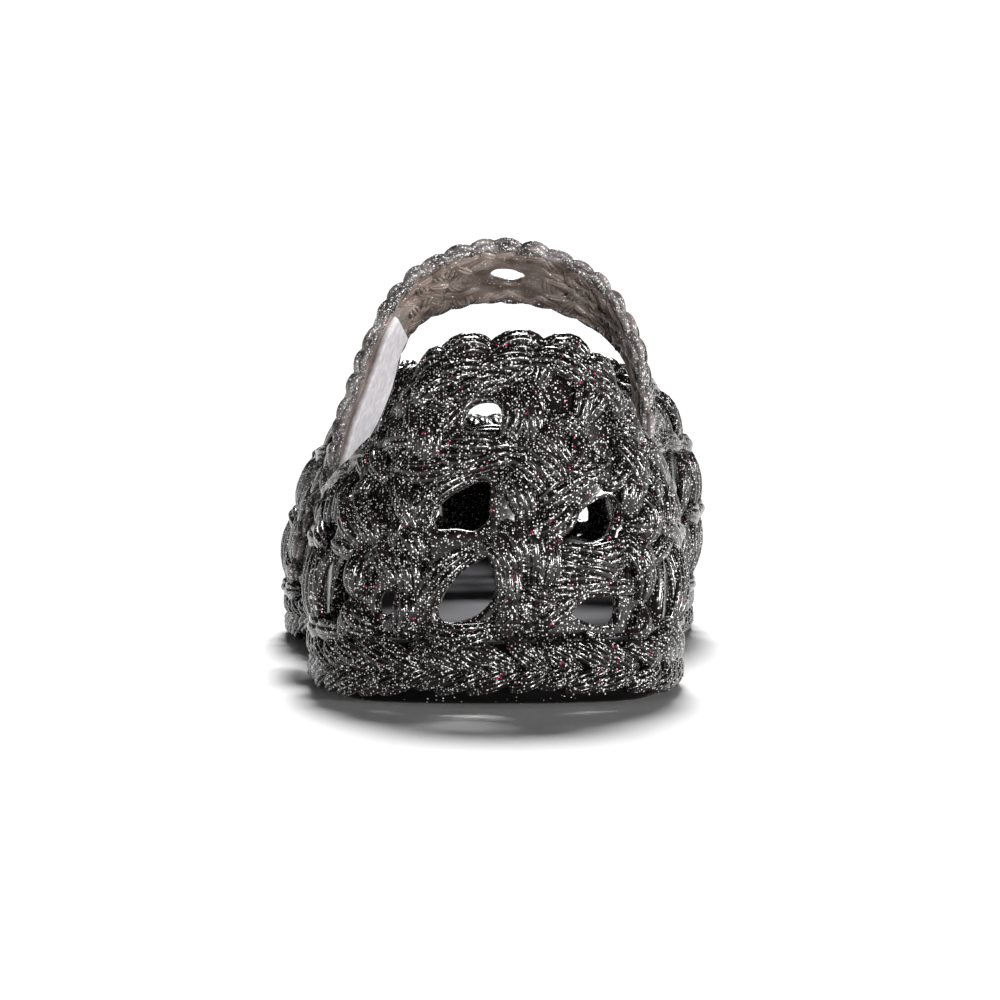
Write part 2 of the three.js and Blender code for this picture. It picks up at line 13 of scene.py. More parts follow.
import bmesh
import bpy
import numpy as np
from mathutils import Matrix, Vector


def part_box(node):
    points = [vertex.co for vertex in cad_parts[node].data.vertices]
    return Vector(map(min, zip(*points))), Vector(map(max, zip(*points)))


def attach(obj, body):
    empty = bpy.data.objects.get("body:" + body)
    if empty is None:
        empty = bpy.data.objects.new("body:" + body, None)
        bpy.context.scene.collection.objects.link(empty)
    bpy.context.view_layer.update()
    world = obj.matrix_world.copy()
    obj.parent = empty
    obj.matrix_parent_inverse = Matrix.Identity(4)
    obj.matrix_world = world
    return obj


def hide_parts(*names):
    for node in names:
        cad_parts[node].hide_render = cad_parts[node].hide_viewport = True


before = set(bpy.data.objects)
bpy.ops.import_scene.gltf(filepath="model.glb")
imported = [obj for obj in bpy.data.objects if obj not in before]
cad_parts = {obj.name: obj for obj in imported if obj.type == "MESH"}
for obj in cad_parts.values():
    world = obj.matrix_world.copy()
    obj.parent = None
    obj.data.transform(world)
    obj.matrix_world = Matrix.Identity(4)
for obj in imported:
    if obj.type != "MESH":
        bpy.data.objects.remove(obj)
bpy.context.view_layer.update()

log = logging.getLogger("sandal")
Array = np.ndarray
MM = 0.001


@dataclass(frozen=True)
class Last:
    """The driving sizes of the shoe, the same as in the part's source."""

    length: float = 0.170
    ball_width: float = 0.070
    heel_width: float = 0.052
    heel_height: float = 0.050
    quarter_height: float = 0.029
    instep_height: float = 0.0465
    sole_thickness: float = 0.0084
    arch_rise: float = 0.0026
    toe_spring: float = 0.007
    toe_shift: float = 0.0035
    wall: float = 0.0028
    strip_rise: float = 0.0009
    rope_radius: float = 0.0021
    gap_pitch: float = 0.0106
    gap_row_pitch: float = 0.012
    base_band: float = 0.0014
    clearance: float = 0.0003
    strap_height: float = 0.0645
    strap_span: float = 0.047
    strap_back: float = 0.045
    strap_run: float = 0.0185
    strap_thickness: float = 0.0022
    strap_rope_radius: float = 0.0015
    strap_end_lift: float = 0.006
    tape_thickness: float = 0.0011
    tape_width: float = 0.0124
    tread_depth: float = 0.0011
    insole_thickness: float = 0.002
    insole_recess: float = 0.0012


LAST = Last()

# The sole's half widths as shares of the width between heel and ball: along, medial, lateral
OUTLINE_ROWS = (
    (0.042, 0.8, 0.81),
    (0.14, 0.99, 1.0),
    (0.28, 0.93, 1.0),
    (0.42, 0.82, 0.97),
    (0.55, 0.86, 0.98),
    (0.66, 0.92, 0.99),
    (0.78, 0.92, 0.91),
    (0.9, 0.79, 0.69),
    (0.972, 0.48, 0.37),
)

# The upper's sections: round, medial, lateral, along, heel, vamp, swell, rise, reach, drop, slope
SECTION_ROWS = (
    (0, 0.1, -0.1, 0.032, 1, 0, 1.2, 0.4, 1, 0.35, 0),
    (0.027, 0.44, 0.29, 0.036, 0.97, 0, 1.2, 0.4, 1, 0.35, 0),
    (0.05, 0.66, 0.5, 0.06, 0.64, 0, 1.2, 0.4, 1, 0.35, 0),
    (0.075, 0.82, 0.72, 0.105, 0.27, 0, 1.2, 0.4, 1, 0.4, 0),
    (0.105, 0.9, 0.88, 0.172, 0.06, 0, 1.2, 0.4, 1, 0.4, 0),
    (0.15, 0.85, 0.81, 0.27, 0, 0, 1.2, 0.4, 1, 0.4, 0),
    (0.2, 0.86, 0.78, 0.36, 0, 0.12, 3, 0.4, 1, 0.35, 0.2),
    (0.245, 0.86, 0.7, 0.43, 0, 0.66, 5.2, 0.5, 0.95, 0.18, 0.8),
    (0.285, 0.64, 0.51, 0.462, 0, 1, 5.6, 0.6, 0.84, 0.05, 1),
    (0.35, 0.42, 0.42, 0.5, 0, 0.82, 4.2, 0.62, 0.74, 0, 0.7),
    (0.43, 0.17, 0.27, 0.537, 0, 0.5, 1.8, 0.68, 0.66, -0.06, 0.3),
    (0.5, -0.06, 0.06, 0.55, 0, 0.42, 1.4, 0.7, 0.64, -0.08, 0),
)

# The strap's edges, medial to lateral: side, rise, front side, front rise, as shares of span and climb
STRAP_ROWS = (
    (1.02, 0.18, 1.02, 0.18),
    (0.99, 0.41, 1.0, 0.34),
    (0.91, 0.64, 0.95, 0.51),
    (0.71, 0.84, 0.77, 0.65),
    (0.4, 0.96, 0.44, 0.76),
    (0.07, 1.0, 0.07, 0.8),
    (-0.28, 0.97, -0.26, 0.78),
    (-0.58, 0.865, -0.55, 0.71),
    (-0.8, 0.68, -0.7, 0.575),
    (-0.94, 0.47, -0.78, 0.39),
    (-1.05, 0.28, -0.92, 0.22),
)

# A gap's corners inside its cell, anticlockwise from the lower left, as shares of half the cell
GAP_CORNERS = ((-0.66, -0.64), (0.4, -0.62), (0.64, 0.02), (0.54, 0.68), (0.08, 0.56), (-0.48, -0.1))

# The counter's leaves: start, middle and end, each in mm round the sole from the heel and mm up the wall
HEEL_LEAVES = (
    # under the collar
    ((-11.3, 34.9), (-8.0, 37.1), (-3.7, 37.2)),
    ((-4.1, 37.2), (-0.7, 38.6), (3.9, 38.1)),
    ((3.3, 38.5), (7.6, 37.9), (12.1, 35.2)),
    ((10.9, 36.5), (16.0, 33.9), (18.6, 30.5)),
    ((-13.0, 31.4), (-11.9, 34.5), (-8.4, 35.8)),
    ((-7.7, 33.1), (-3.8, 35.2), (-0.4, 35.4)),
    ((-9.1, 34.0), (-7.2, 30.5), (-7.4, 26.9)),
    ((-0.8, 35.0), (1.1, 31.4), (0.0, 27.4)),
    ((0.8, 35.0), (3.5, 31.3), (4.2, 26.9)),
    ((3.7, 35.8), (5.9, 31.8), (5.3, 26.9)),
    ((6.6, 31.2), (6.9, 27.0), (10.4, 23.9)),
    ((9.0, 33.0), (8.3, 29.1), (10.8, 26.4)),
    ((8.0, 24.8), (11.3, 22.8), (15.2, 25.1)),
    ((10.7, 31.3), (13.7, 30.1), (13.9, 26.9)),
    ((15.2, 31.3), (18.3, 28.2), (17.9, 24.6)),
    ((-15.3, 33.3), (-12.9, 29.1), (-13.8, 25.2)),
    ((-11.1, 31.3), (-10.0, 27.8), (-10.9, 24.3)),
    ((-19.3, 26.3), (-14.5, 27.9), (-9.9, 27.4)),
    # round the second row of gaps
    ((-15.9, 23.9), (-10.3, 22.9), (-5.9, 24.8)),
    ((-10.1, 25.1), (-5.9, 24.3), (-1.6, 25.5)),
    ((-7.0, 26.8), (-3.6, 27.4), (0.1, 26.1)),
    ((-20.8, 23.1), (-18.6, 20.0), (-19.1, 16.8)),
    ((-4.1, 23.1), (-0.7, 25.4), (3.4, 25.2)),
    ((0.1, 26.1), (3.5, 23.4), (6.3, 20.5)),
    ((2.8, 27.0), (6.6, 23.9), (8.6, 20.9)),
    ((-1.8, 22.7), (0.5, 20.1), (1.5, 16.2)),
    ((0.8, 23.6), (2.8, 20.1), (4.2, 16.7)),
    ((6.3, 18.4), (9.5, 21.3), (14.4, 22.9)),
    ((7.3, 16.3), (11.4, 18.9), (16.4, 21.0)),
    ((5.1, 14.9), (8.2, 16.1), (10.5, 18.3)),
    ((14.9, 24.3), (17.5, 21.6), (18.5, 18.1)),
    ((18.1, 26.9), (21.2, 23.3), (21.9, 19.4)),
    ((18.6, 19.8), (19.6, 16.7), (18.9, 13.8)),
    ((10.5, 12.7), (14.3, 13.1), (18.9, 13.3)),
    ((8.7, 14.0), (11.8, 17.4), (16.9, 19.9)),
    ((-10.7, 15.3), (-9.1, 19.2), (-3.6, 22.7)),
    ((-1.7, 21.7), (-0.1, 18.8), (-1.6, 14.9)),
    ((-9.4, 14.7), (-5.6, 14.7), (-1.4, 14.7)),
    ((-14.4, 22.6), (-13.2, 19.1), (-10.7, 15.7)),
    ((-14.6, 15.7), (-12.0, 13.6), (-11.1, 10.6)),
    ((-22.3, 19.9), (-19.0, 16.4), (-17.4, 13.4)),
    # above the sole
    ((-9.8, 13.6), (-6.1, 11.5), (-1.8, 12.8)),
    ((-11.1, 11.0), (-7.0, 9.7), (-3.6, 11.5)),
    ((-4.0, 11.1), (-6.6, 7.6), (-9.1, 4.1)),
    ((-1.6, 11.1), (0.6, 7.7), (0.0, 3.9)),
    ((0.3, 15.8), (2.6, 12.8), (2.8, 8.9)),
    ((-1.8, 14.1), (0.8, 11.6), (1.7, 7.7)),
    ((3.3, 16.6), (5.1, 12.4), (4.8, 8.1)),
    ((6.4, 14.9), (7.1, 10.6), (6.1, 6.8)),
    ((-8.9, 2.3), (-5.3, 2.7), (-0.9, 1.9)),
    ((8.3, 12.3), (12.3, 12.3), (17.2, 10.4)),
    ((7.3, 10.2), (11.9, 10.1), (17.2, 8.2)),
    ((6.1, 7.2), (10.1, 7.7), (15.3, 6.8)),
    ((4.4, 1.2), (7.4, 4.1), (11.5, 5.6)),
    ((9.8, 1.0), (13.5, 1.0), (18.0, 0.8)),
    ((17.8, 6.9), (19.2, 3.8), (18.6, 0.8)),
    ((18.3, 12.9), (21.0, 9.7), (21.1, 5.9)),
    ((20.7, 15.5), (25.9, 11.7), (26.7, 7.3)),
    ((22.3, 5.8), (24.1, 3.1), (21.5, 0.2)),
    ((0.8, 6.4), (3.5, 4.7), (4.4, 1.2)),
    ((1.7, 7.7), (4.8, 6.1), (7.4, 5.4)),
    ((-22.4, 12.4), (-24.2, 8.8), (-22.0, 5.9)),
    ((-19.3, 12.1), (-20.2, 8.5), (-17.9, 6.1)),
    ((-16.9, 13.4), (-15.3, 10.4), (-13.4, 7.5)),
    ((-14.6, 12.2), (-12.2, 9.7), (-13.2, 5.7)),
    ((-23.1, 5.3), (-20.9, 2.8), (-18.0, 1.3)),
    ((-13.9, 6.2), (-12.8, 4.1), (-14.0, 1.0)),
    ((-11.1, 8.3), (-10.4, 5.4), (-12.3, 1.9)),
    ((-23.8, 19.0), (-22.7, 16.3), (-19.7, 13.3)),
    ((21.9, 19.4), (23.9, 16.6), (22.5, 13.7)),
)

# The counter's gaps: corners in mm round the sole from the heel and mm up the wall
HEEL_GAPS = (
    ((-5.4, 31.8), (-3.5, 33.1), (-2.1, 33.1), (-0.9, 30.9),
     (-1.5, 28.9), (-4.2, 28.7), (-6.3, 29.0), (-5.7, 30.4)),
    ((-9.0, 15.9), (-8.0, 18.7), (-5.6, 20.3), (-3.1, 21.5), (-1.5, 21.6),
     (-2.0, 19.2), (-1.3, 17.3), (-2.8, 15.7), (-3.7, 15.2), (-6.0, 16.0), (-8.5, 15.1)),
    ((9.4, 13.8), (12.8, 17.8), (16.0, 19.4), (17.8, 18.9), (17.6, 16.5), (15.8, 14.3), (13.6, 13.6)),
    ((-8.1, 4.8), (-6.6, 7.6), (-4.8, 9.3), (-1.8, 11.3), (-1.1, 8.9), (-0.6, 6.8), (-3.6, 3.6), (-8.0, 3.3)),
    ((-17.4, 6.1), (-15.1, 6.5), (-14.5, 4.9), (-17.1, 3.1)),
    ((10.3, 3.4), (14.3, 5.7), (17.2, 5.7), (17.7, 3.7), (16.4, 1.8), (13.0, 2.7)),
    ((6.5, 33.1), (8.0, 33.9), (9.6, 33.5), (8.1, 31.8)),
    ((14.2, 29.1), (15.7, 29.8), (16.2, 28.2), (15.2, 26.2), (14.5, 27.3)),
    ((-16.9, 17.9), (-16.0, 19.5), (-14.9, 18.2), (-15.2, 16.7)),
)

# How far round the heel, in metres, leaves and gaps are placed from the lists
HAND_REACH = 0.0285


def ease(value: Array | float, low: float, high: float) -> Array:
    """Return a smooth step of a value from 0 at low to 1 at high."""
    share = np.clip((np.asarray(value, float) - low) / (high - low), 0, 1)
    return share * share * (3 - 2 * share)


def unit(vectors: Array) -> Array:
    """Return vectors scaled to length one, along their last axis."""
    return vectors / np.maximum(np.linalg.norm(vectors, axis=-1, keepdims=True), 1e-12)


def catmull(points: Array, shares: Array, closed: bool) -> Array:
    """Sample a centripetal Catmull-Rom curve.

    Args:
        points: The corners that the curve passes.
        shares: Where to sample it, from 0 to 1 over the whole curve.
        closed: Whether it runs back to its first corner.

    Returns:
        One place for each share.
    """
    count = len(points)
    step = np.clip(shares, 0, 1) * (count if closed else count - 1)
    first = np.minimum(np.floor(step), count - (0 if closed else 1) - 1).astype(int)
    weight = (step - first)[:, None]
    if closed:
        p0, p1, p2, p3 = (points[(first + shift) % count] for shift in (-1, 0, 1, 2))
    else:
        head = 2 * points[0] - points[1]
        tail = 2 * points[-1] - points[-2]
        padded = np.vstack([head, points, tail])
        p0, p1, p2, p3 = (padded[first + shift] for shift in (0, 1, 2, 3))
    gaps = [np.sum((b - a) ** 2, axis=1, keepdims=True) ** 0.25 for a, b in ((p0, p1), (p1, p2), (p2, p3))]
    d0, d1, d2 = gaps
    start = ((p1 - p0) / d0 - (p2 - p0) / (d0 + d1) + (p2 - p1) / d1) * d1
    end = ((p2 - p1) / d1 - (p3 - p1) / (d1 + d2) + (p3 - p2) / d2) * d1
    square = weight * weight
    cube = square * weight
    bend = (3 * (p2 - p1) - 2 * start - end) * square
    return p1 + start * weight + bend + (2 * (p1 - p2) + start + end) * cube


def run_of(points: Array) -> Array:
    """Return the length run up to each point of a line."""
    steps = np.linalg.norm(np.diff(points, axis=0), axis=1)
    return np.concatenate([[0.0], np.cumsum(steps)])


def sample(table: Array, knots: Array, where: Array) -> Array:
    """Return points between those of a table, whose rows lie at the knots."""
    return np.stack([np.interp(where, knots, table[:, axis]) for axis in range(3)], axis=-1)


class Outline:
    """The sole's plan outline: heel, medial side, toe, lateral side."""

    def __init__(self) -> None:
        """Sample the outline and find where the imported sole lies."""
        sizes = LAST
        width = [sizes.heel_width + (sizes.ball_width - sizes.heel_width) * float(ease(row[0], 0.3, 0.62))
                 for row in OUTLINE_ROWS]
        medial = [(row[1] * w / 2, row[0] * sizes.length, 0) for row, w in zip(OUTLINE_ROWS, width)]
        lateral = [(-row[2] * w / 2, row[0] * sizes.length, 0) for row, w in zip(OUTLINE_ROWS, width)]
        corners = np.array([(0, 0, 0), *medial, (sizes.toe_shift, sizes.length, 0), *reversed(lateral)])
        fine = catmull(corners, np.linspace(0, 1, 4001), True)
        run = run_of(fine)
        self.girth = run[-1]
        shares = np.linspace(0, 1, 2001)
        self.points = sample(fine, run, shares * run[-1])
        self.tangents = unit(np.gradient(self.points, axis=0))
        low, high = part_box("sole")
        self.shift = np.array([
            (low.x + high.x - self.points[:, 0].min() - self.points[:, 0].max()) / 2,
            (low.y + high.y - self.points[:, 1].min() - self.points[:, 1].max()) / 2,
            0.0,
        ])

    def at(self, round_: Array, inset: Array | float) -> Array:
        """Return places on the outline at height 0.

        Args:
            round_: Shares of the turn from the heel, medial side first.
            inset: How far the places are moved inwards.

        Returns:
            One place for each share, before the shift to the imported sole.
        """
        where = np.mod(round_, 1) * (len(self.points) - 1)
        index = np.arange(len(self.points))
        point = sample(self.points, index, where)
        tangent = unit(sample(self.tangents, index, where))
        point[..., 0] -= tangent[..., 1] * inset
        point[..., 1] += tangent[..., 0] * inset
        return point

    def round_at(self, y: float, medial: bool) -> float:
        """Return the share of the way round at which a side passes a place along the shoe.

        Args:
            y: The place along the shoe, from the heel.
            medial: Whether the medial side is meant.

        Returns:
            The share of the turn.
        """
        half = len(self.points) // 2
        side = self.points[: half + 1] if medial else self.points[half:][::-1]
        share = np.interp(y, side[:, 1], np.linspace(0, 0.5, len(side)))
        return float(share if medial else 1 - share)


OUTLINE = Outline()


def spring_at(y: Array) -> Array:
    """Return the toe spring's height along the shoe."""
    return LAST.toe_spring * np.clip((y / LAST.length - 0.76) / 0.24, 0, 1) ** 2


def under_at(y: Array) -> Array:
    """Return the height of the sole's underside along the shoe."""
    arch = np.sin(np.pi * np.clip((y / LAST.length - 0.31) / 0.26, 0, 1)) ** 2
    bevel = np.clip(1 - y / (0.045 * LAST.length), 0, 1) ** 2
    return spring_at(y) + LAST.arch_rise * arch + 0.5 * LAST.tread_depth * bevel


def rim_at(y: Array) -> Array:
    """Return the height of the sole's rim along the shoe."""
    return spring_at(y) + LAST.sole_thickness * (1 - 0.12 * ease(y / LAST.length, 0.3, 0.6))


class Face:
    """A curved face that pieces are laid on, given by two coordinates and a height off it."""

    def place(self, u: Array, v: Array, out: Array) -> Array:
        """Return places on the face in the shoe's frame."""
        raise NotImplementedError

    def normal(self, u: Array, v: Array) -> Array:
        """Return the directions off the face."""
        return unit(self.place(u, v, np.full(np.shape(u), MM)) - self.place(u, v, np.zeros(np.shape(u))))


class WallFace(Face):
    """The outer face of vamp, quarters and counter, by share of the turn and metres of climb."""

    def __init__(self, turns: int = 456, climbs: int = 72) -> None:
        """Work out a table of places and directions.

        Args:
            turns: Sections round the shoe.
            climbs: Steps up each section.
        """
        sizes = LAST
        rounds = np.arange(turns) / turns
        columns = self._sections(rounds)
        base = OUTLINE.at(rounds, sizes.strip_rise)
        base[:, 2] = rim_at(base[:, 1]) + sizes.clearance
        top = np.stack([columns["x"], columns["y"], columns["z"]], axis=1)
        height = top[:, 2] - base[:, 2]
        outward = OUTLINE.at(rounds, 0) - OUTLINE.at(rounds, MM)
        low = base + unit(outward) * columns["swell"][:, None] * MM
        low[:, 2] += columns["rise"] * height
        high = top + (base - top) * columns["reach"][:, None]
        high[:, 2] = top[:, 2] - columns["drop"] * height
        t = np.linspace(0, 1, 121)[None, :, None]
        curve = (base[:, None] * (1 - t) ** 3 + 3 * low[:, None] * (1 - t) ** 2 * t
                 + 3 * high[:, None] * (1 - t) * t ** 2 + top[:, None] * t ** 3)
        self.points = np.empty((turns, climbs + 1, 3))
        self.full = np.empty(turns)
        for index, line in enumerate(curve):
            run = run_of(line)
            shares = np.linspace(0, run[-1], climbs + 1)
            self.full[index] = run[-1]
            self.points[index] = sample(line, run, shares)
        turn = np.roll(self.points, -2, axis=0) - np.roll(self.points, 2, axis=0)
        climb = np.gradient(self.points, axis=1)
        self.normals = unit(np.cross(turn, climb))
        self.turns = turns
        self.climbs = climbs

    @staticmethod
    def _sections(rounds: Array) -> dict[str, Array]:
        """Return each column of the section table, eased between its rows.

        Args:
            rounds: Shares of the turn.

        Returns:
            The columns by name, each with one value for every share.
        """
        sizes = LAST

        def edge(row: tuple[float, ...], sign: int) -> tuple[float, ...]:
            """Return one row as lengths, for the medial side (sign 1) or the lateral one."""
            turn, medial, lateral, along, heel, vamp, swell, rise, reach, drop, slope = row
            fall = 0 if sign > 0 else slope
            x = sign * (medial if sign > 0 else lateral) * sizes.heel_width / 2
            z = sizes.quarter_height - sizes.rope_radius
            z += heel * (sizes.heel_height - sizes.quarter_height)
            z += vamp * (sizes.instep_height - sizes.quarter_height)
            return (turn if sign > 0 else 1 - turn, x, along * sizes.length, z, swell * (1 - 0.5 * fall),
                    rise * (1 - 0.35 * fall), reach * (1 - 0.3 * fall), drop + 0.14 * fall)

        rows = [edge(row, 1) for row in SECTION_ROWS]
        rows += [edge(row, -1) for row in reversed(SECTION_ROWS[1:-1])]
        table = np.array(rows)
        count = len(table)
        turn = np.concatenate([table[-2:, 0] - 1, table[:, 0], table[:2, 0] + 1])
        found = np.searchsorted(table[:, 0], rounds, side="right") - 1
        names = ("x", "y", "z", "swell", "rise", "reach", "drop")
        made = {}
        for column, name in enumerate(names, start=1):
            value = table[np.arange(-2, count + 2) % count, column]
            here = found + 2
            span = turn[here + 1] - turn[here]
            share = (rounds - turn[here]) / span
            start = (value[here + 1] - value[here - 1]) / (turn[here + 1] - turn[here - 1]) * span
            end = (value[here + 2] - value[here]) / (turn[here + 2] - turn[here]) * span
            step = value[here + 1] - value[here]
            made[name] = (value[here] + start * share + (3 * step - 2 * start - end) * share ** 2
                          + (start + end - 2 * step) * share ** 3)
        return made

    def climb_full(self, round_: Array) -> Array:
        """Return the climb from the sole's rim to the top edge."""
        where = np.mod(round_, 1) * self.turns
        return np.interp(where, np.arange(self.turns + 1), np.append(self.full, self.full[0]))

    def place(self, u: Array, v: Array, out: Array) -> Array:
        """Return places on the wall.

        Args:
            u: Shares of the turn.
            v: Climbs from the sole's rim, in metres.
            out: Heights off the face.

        Returns:
            The places in the shoe's frame.
        """
        where = np.mod(u, 1) * self.turns
        column = np.floor(where).astype(int) % self.turns
        across = (where - np.floor(where))[..., None]
        level = v / self.climb_full(u) * self.climbs
        row = np.clip(np.floor(level), 0, self.climbs - 1).astype(int)
        up = (level - row)[..., None]
        flat = np.clip(up, 0, 1)
        after = (column + 1) % self.turns

        def blend(table: Array, rise: Array) -> Array:
            """Return a table's values between its four nearest entries."""
            low = table[column, row] * (1 - across) + table[after, row] * across
            high = table[column, row + 1] * (1 - across) + table[after, row + 1] * across
            return low * (1 - rise) + high * rise

        off = unit(blend(self.normals, flat)) * np.asarray(out)[..., None]
        return blend(self.points, up) + off + OUTLINE.shift


WALL = WallFace()


class Lattice:
    """The openwork's cells: columns round the shoe and rows up the wall."""

    def __init__(self) -> None:
        """Count the cells and find which have a gap."""
        self.columns = 2 * round(OUTLINE.girth / LAST.gap_pitch / 2)
        self.gap_rows = 5
        self.rows = self.gap_rows + 1
        self.gaps = {(column, row) for column in range(self.columns) for row in range(self.gap_rows)
                     if self._has_gap(column, row)}

    def climb(self, round_: Array, row: Array) -> Array:
        """Return the climb of a row line, which may lie between two rows.

        Args:
            round_: Shares of the turn.
            row: Rows from the sole's rim up, whole or not.

        Returns:
            The climbs in metres.
        """
        turn = np.mod(round_, 1)
        stretch = 1 + 0.22 * ease(0.5 - np.abs(turn - 0.5), 0.3, 0.5)
        full = WALL.climb_full(turn)

        def line(index: Array) -> Array:
            """Return the climb of a whole row, no higher than the top edge."""
            height = np.where(index > 0, LAST.base_band + index * LAST.gap_row_pitch * stretch, 0)
            return np.minimum(np.where(index >= self.rows, full, height), full)

        whole = np.clip(np.floor(row), 0, self.rows - 1)
        share = row - whole
        return line(whole) * (1 - share) + line(whole + 1) * share

    def place(self, column: Array, row: Array, out: Array) -> Array:
        """Return places by cell coordinates and height off the face."""
        round_ = np.asarray(column, float) / self.columns
        return WALL.place(round_, self.climb(round_, np.asarray(row, float)), out)

    def on_pad(self, places: Array) -> Array:
        """Return whether places lie on the closed pad under the strap's end."""
        local = places - OUTLINE.shift
        low = LAST.strap_back - 3 * MM
        high = LAST.strap_back + LAST.strap_run + 3 * MM
        return (local[..., 0] < 0) & (local[..., 1] > low) & (local[..., 1] < high)

    def _has_gap(self, column: int, row: int) -> bool:
        """Return whether a cell is whole, wide enough and off the heel's seam and the pad."""
        rounds = np.array([column, column + 0.5, column + 1]) / self.columns
        tops = self.climb(rounds, np.full(3, row + 1.0))
        whole = bool(np.all(tops < WALL.climb_full(rounds) - 0.3 * LAST.rope_radius))
        corners = self.place(np.array([column, column + 1.0]), np.full(2, row + 1.0), np.zeros(2))
        wide = np.linalg.norm(corners[1] - corners[0]) > 4.5 * MM
        seam = (column == 0 and row < 3) or (abs(column + 0.5 - self.columns / 2) < 1 and row < 1)
        pad = bool(self.on_pad(corners.mean(axis=0)))
        return whole and bool(wide) and not seam and not pad


LATTICE = Lattice()


class StrapFace(Face):
    """The strap's outer face, by share of its run and share from its rear to its front edge."""

    def __init__(self, stops: int = 240) -> None:
        """Work out a table of places along both edges."""
        shares = np.linspace(0, 1, 1201)
        rear = catmull(self._edge(LAST.strap_back, 0), shares, False)
        front = catmull(self._edge(LAST.strap_back + LAST.strap_run, 2), shares, False)
        run = run_of(rear)
        even = np.linspace(0, run[-1], stops + 1)
        self.length = run[-1]
        self.rear = sample(rear, run, even)
        self.front = sample(front, run, even)
        self.along = unit(np.gradient(self.rear + self.front, axis=0))
        self.stops = stops
        self.cells = round(self.length / LAST.gap_pitch)
        self.crown = float(np.argmax(self.rear[:, 2])) / stops

    @staticmethod
    def _edge(y: float, column: int) -> Array:
        """Return the corners of one edge, from inside the medial quarter to the free lateral end.

        Args:
            y: The edge's place along the shoe.
            column: The first of its two columns in the table: 0 for the rear edge, 2 for the front one.

        Returns:
            The corners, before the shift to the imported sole.
        """
        sizes = LAST
        medial = OUTLINE.round_at(y, True)
        lateral = OUTLINE.round_at(y, False)
        outside = 2 * sizes.tape_thickness + 4 * sizes.clearance + sizes.strap_thickness / 2
        foot = float(WALL.climb_full(np.array(medial)))
        shin = float(WALL.climb_full(np.array(lateral)))
        crown = sizes.strap_height - sizes.strap_rope_radius
        half = sizes.strap_span / 2 - sizes.strap_rope_radius
        low = sizes.quarter_height - sizes.rope_radius
        end = sizes.strap_end_lift

        def on_wall(round_: float, climb: float, out: float) -> Array:
            """Return one place on the wall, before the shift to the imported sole."""
            return WALL.place(np.array([round_]), np.array([climb]), np.array([out]))[0] - OUTLINE.shift

        middle = [(row[column] * half, y, low + row[column + 1] * (crown - low)) for row in STRAP_ROWS]
        return np.array([
            on_wall(medial, foot - 2 * sizes.rope_radius, -sizes.wall / 2),
            on_wall(medial, foot, -sizes.wall / 2),
            *middle,
            on_wall(lateral, shin, outside),
            on_wall(lateral, (shin + end) / 2, outside),
            on_wall(lateral, end, outside),
        ])

    def place(self, u: Array, v: Array, out: Array) -> Array:
        """Return places on the strap.

        Args:
            u: Shares of the run, from the medial end.
            v: Shares across, from the rear edge.
            out: Heights off the strap's middle.

        Returns:
            The places in the shoe's frame.
        """
        where = np.clip(u, 0, 1) * self.stops
        index = np.arange(self.stops + 1)
        rear, front, along = (sample(table, index, where) for table in (self.rear, self.front, self.along))
        normal = unit(np.cross(front - rear, along))
        share = np.asarray(v)[..., None]
        return rear * (1 - share) + front * share + normal * np.asarray(out)[..., None] + OUTLINE.shift


STRAP = StrapFace()


class SoleFace(Face):
    """The sole's side, by share of the turn and share of the way from underside to rim."""

    def place(self, u: Array, v: Array, out: Array) -> Array:
        """Return places by share of the turn, share of the rise and height off the side."""
        point = OUTLINE.at(u, 0.6 * MM - np.asarray(out))
        low = under_at(point[..., 1])
        high = rim_at(point[..., 1])
        point[..., 2] = low + (high - low) * v
        return point + OUTLINE.shift


SOLE_SIDE = SoleFace()


class Bundle(Enum):
    """How the plies of a strand lie to each other."""

    LEAF = "side by side in a shallow arch"
    CORD = "twisted round each other"


@dataclass(frozen=True)
class Yarn:
    """How a moulded strand looks: plies that meet at both of its ends.

    width and depth are the bundle's, turns the twist of a cord along its length and taper the share of
    the size that is left at its ends.
    """

    width: float
    depth: float
    ply_radius: float
    bundle: Bundle = Bundle.LEAF
    plies: int = 4
    sides: int = 6
    rings: int = 9
    turns: float = 0.4
    taper: float = 0.34


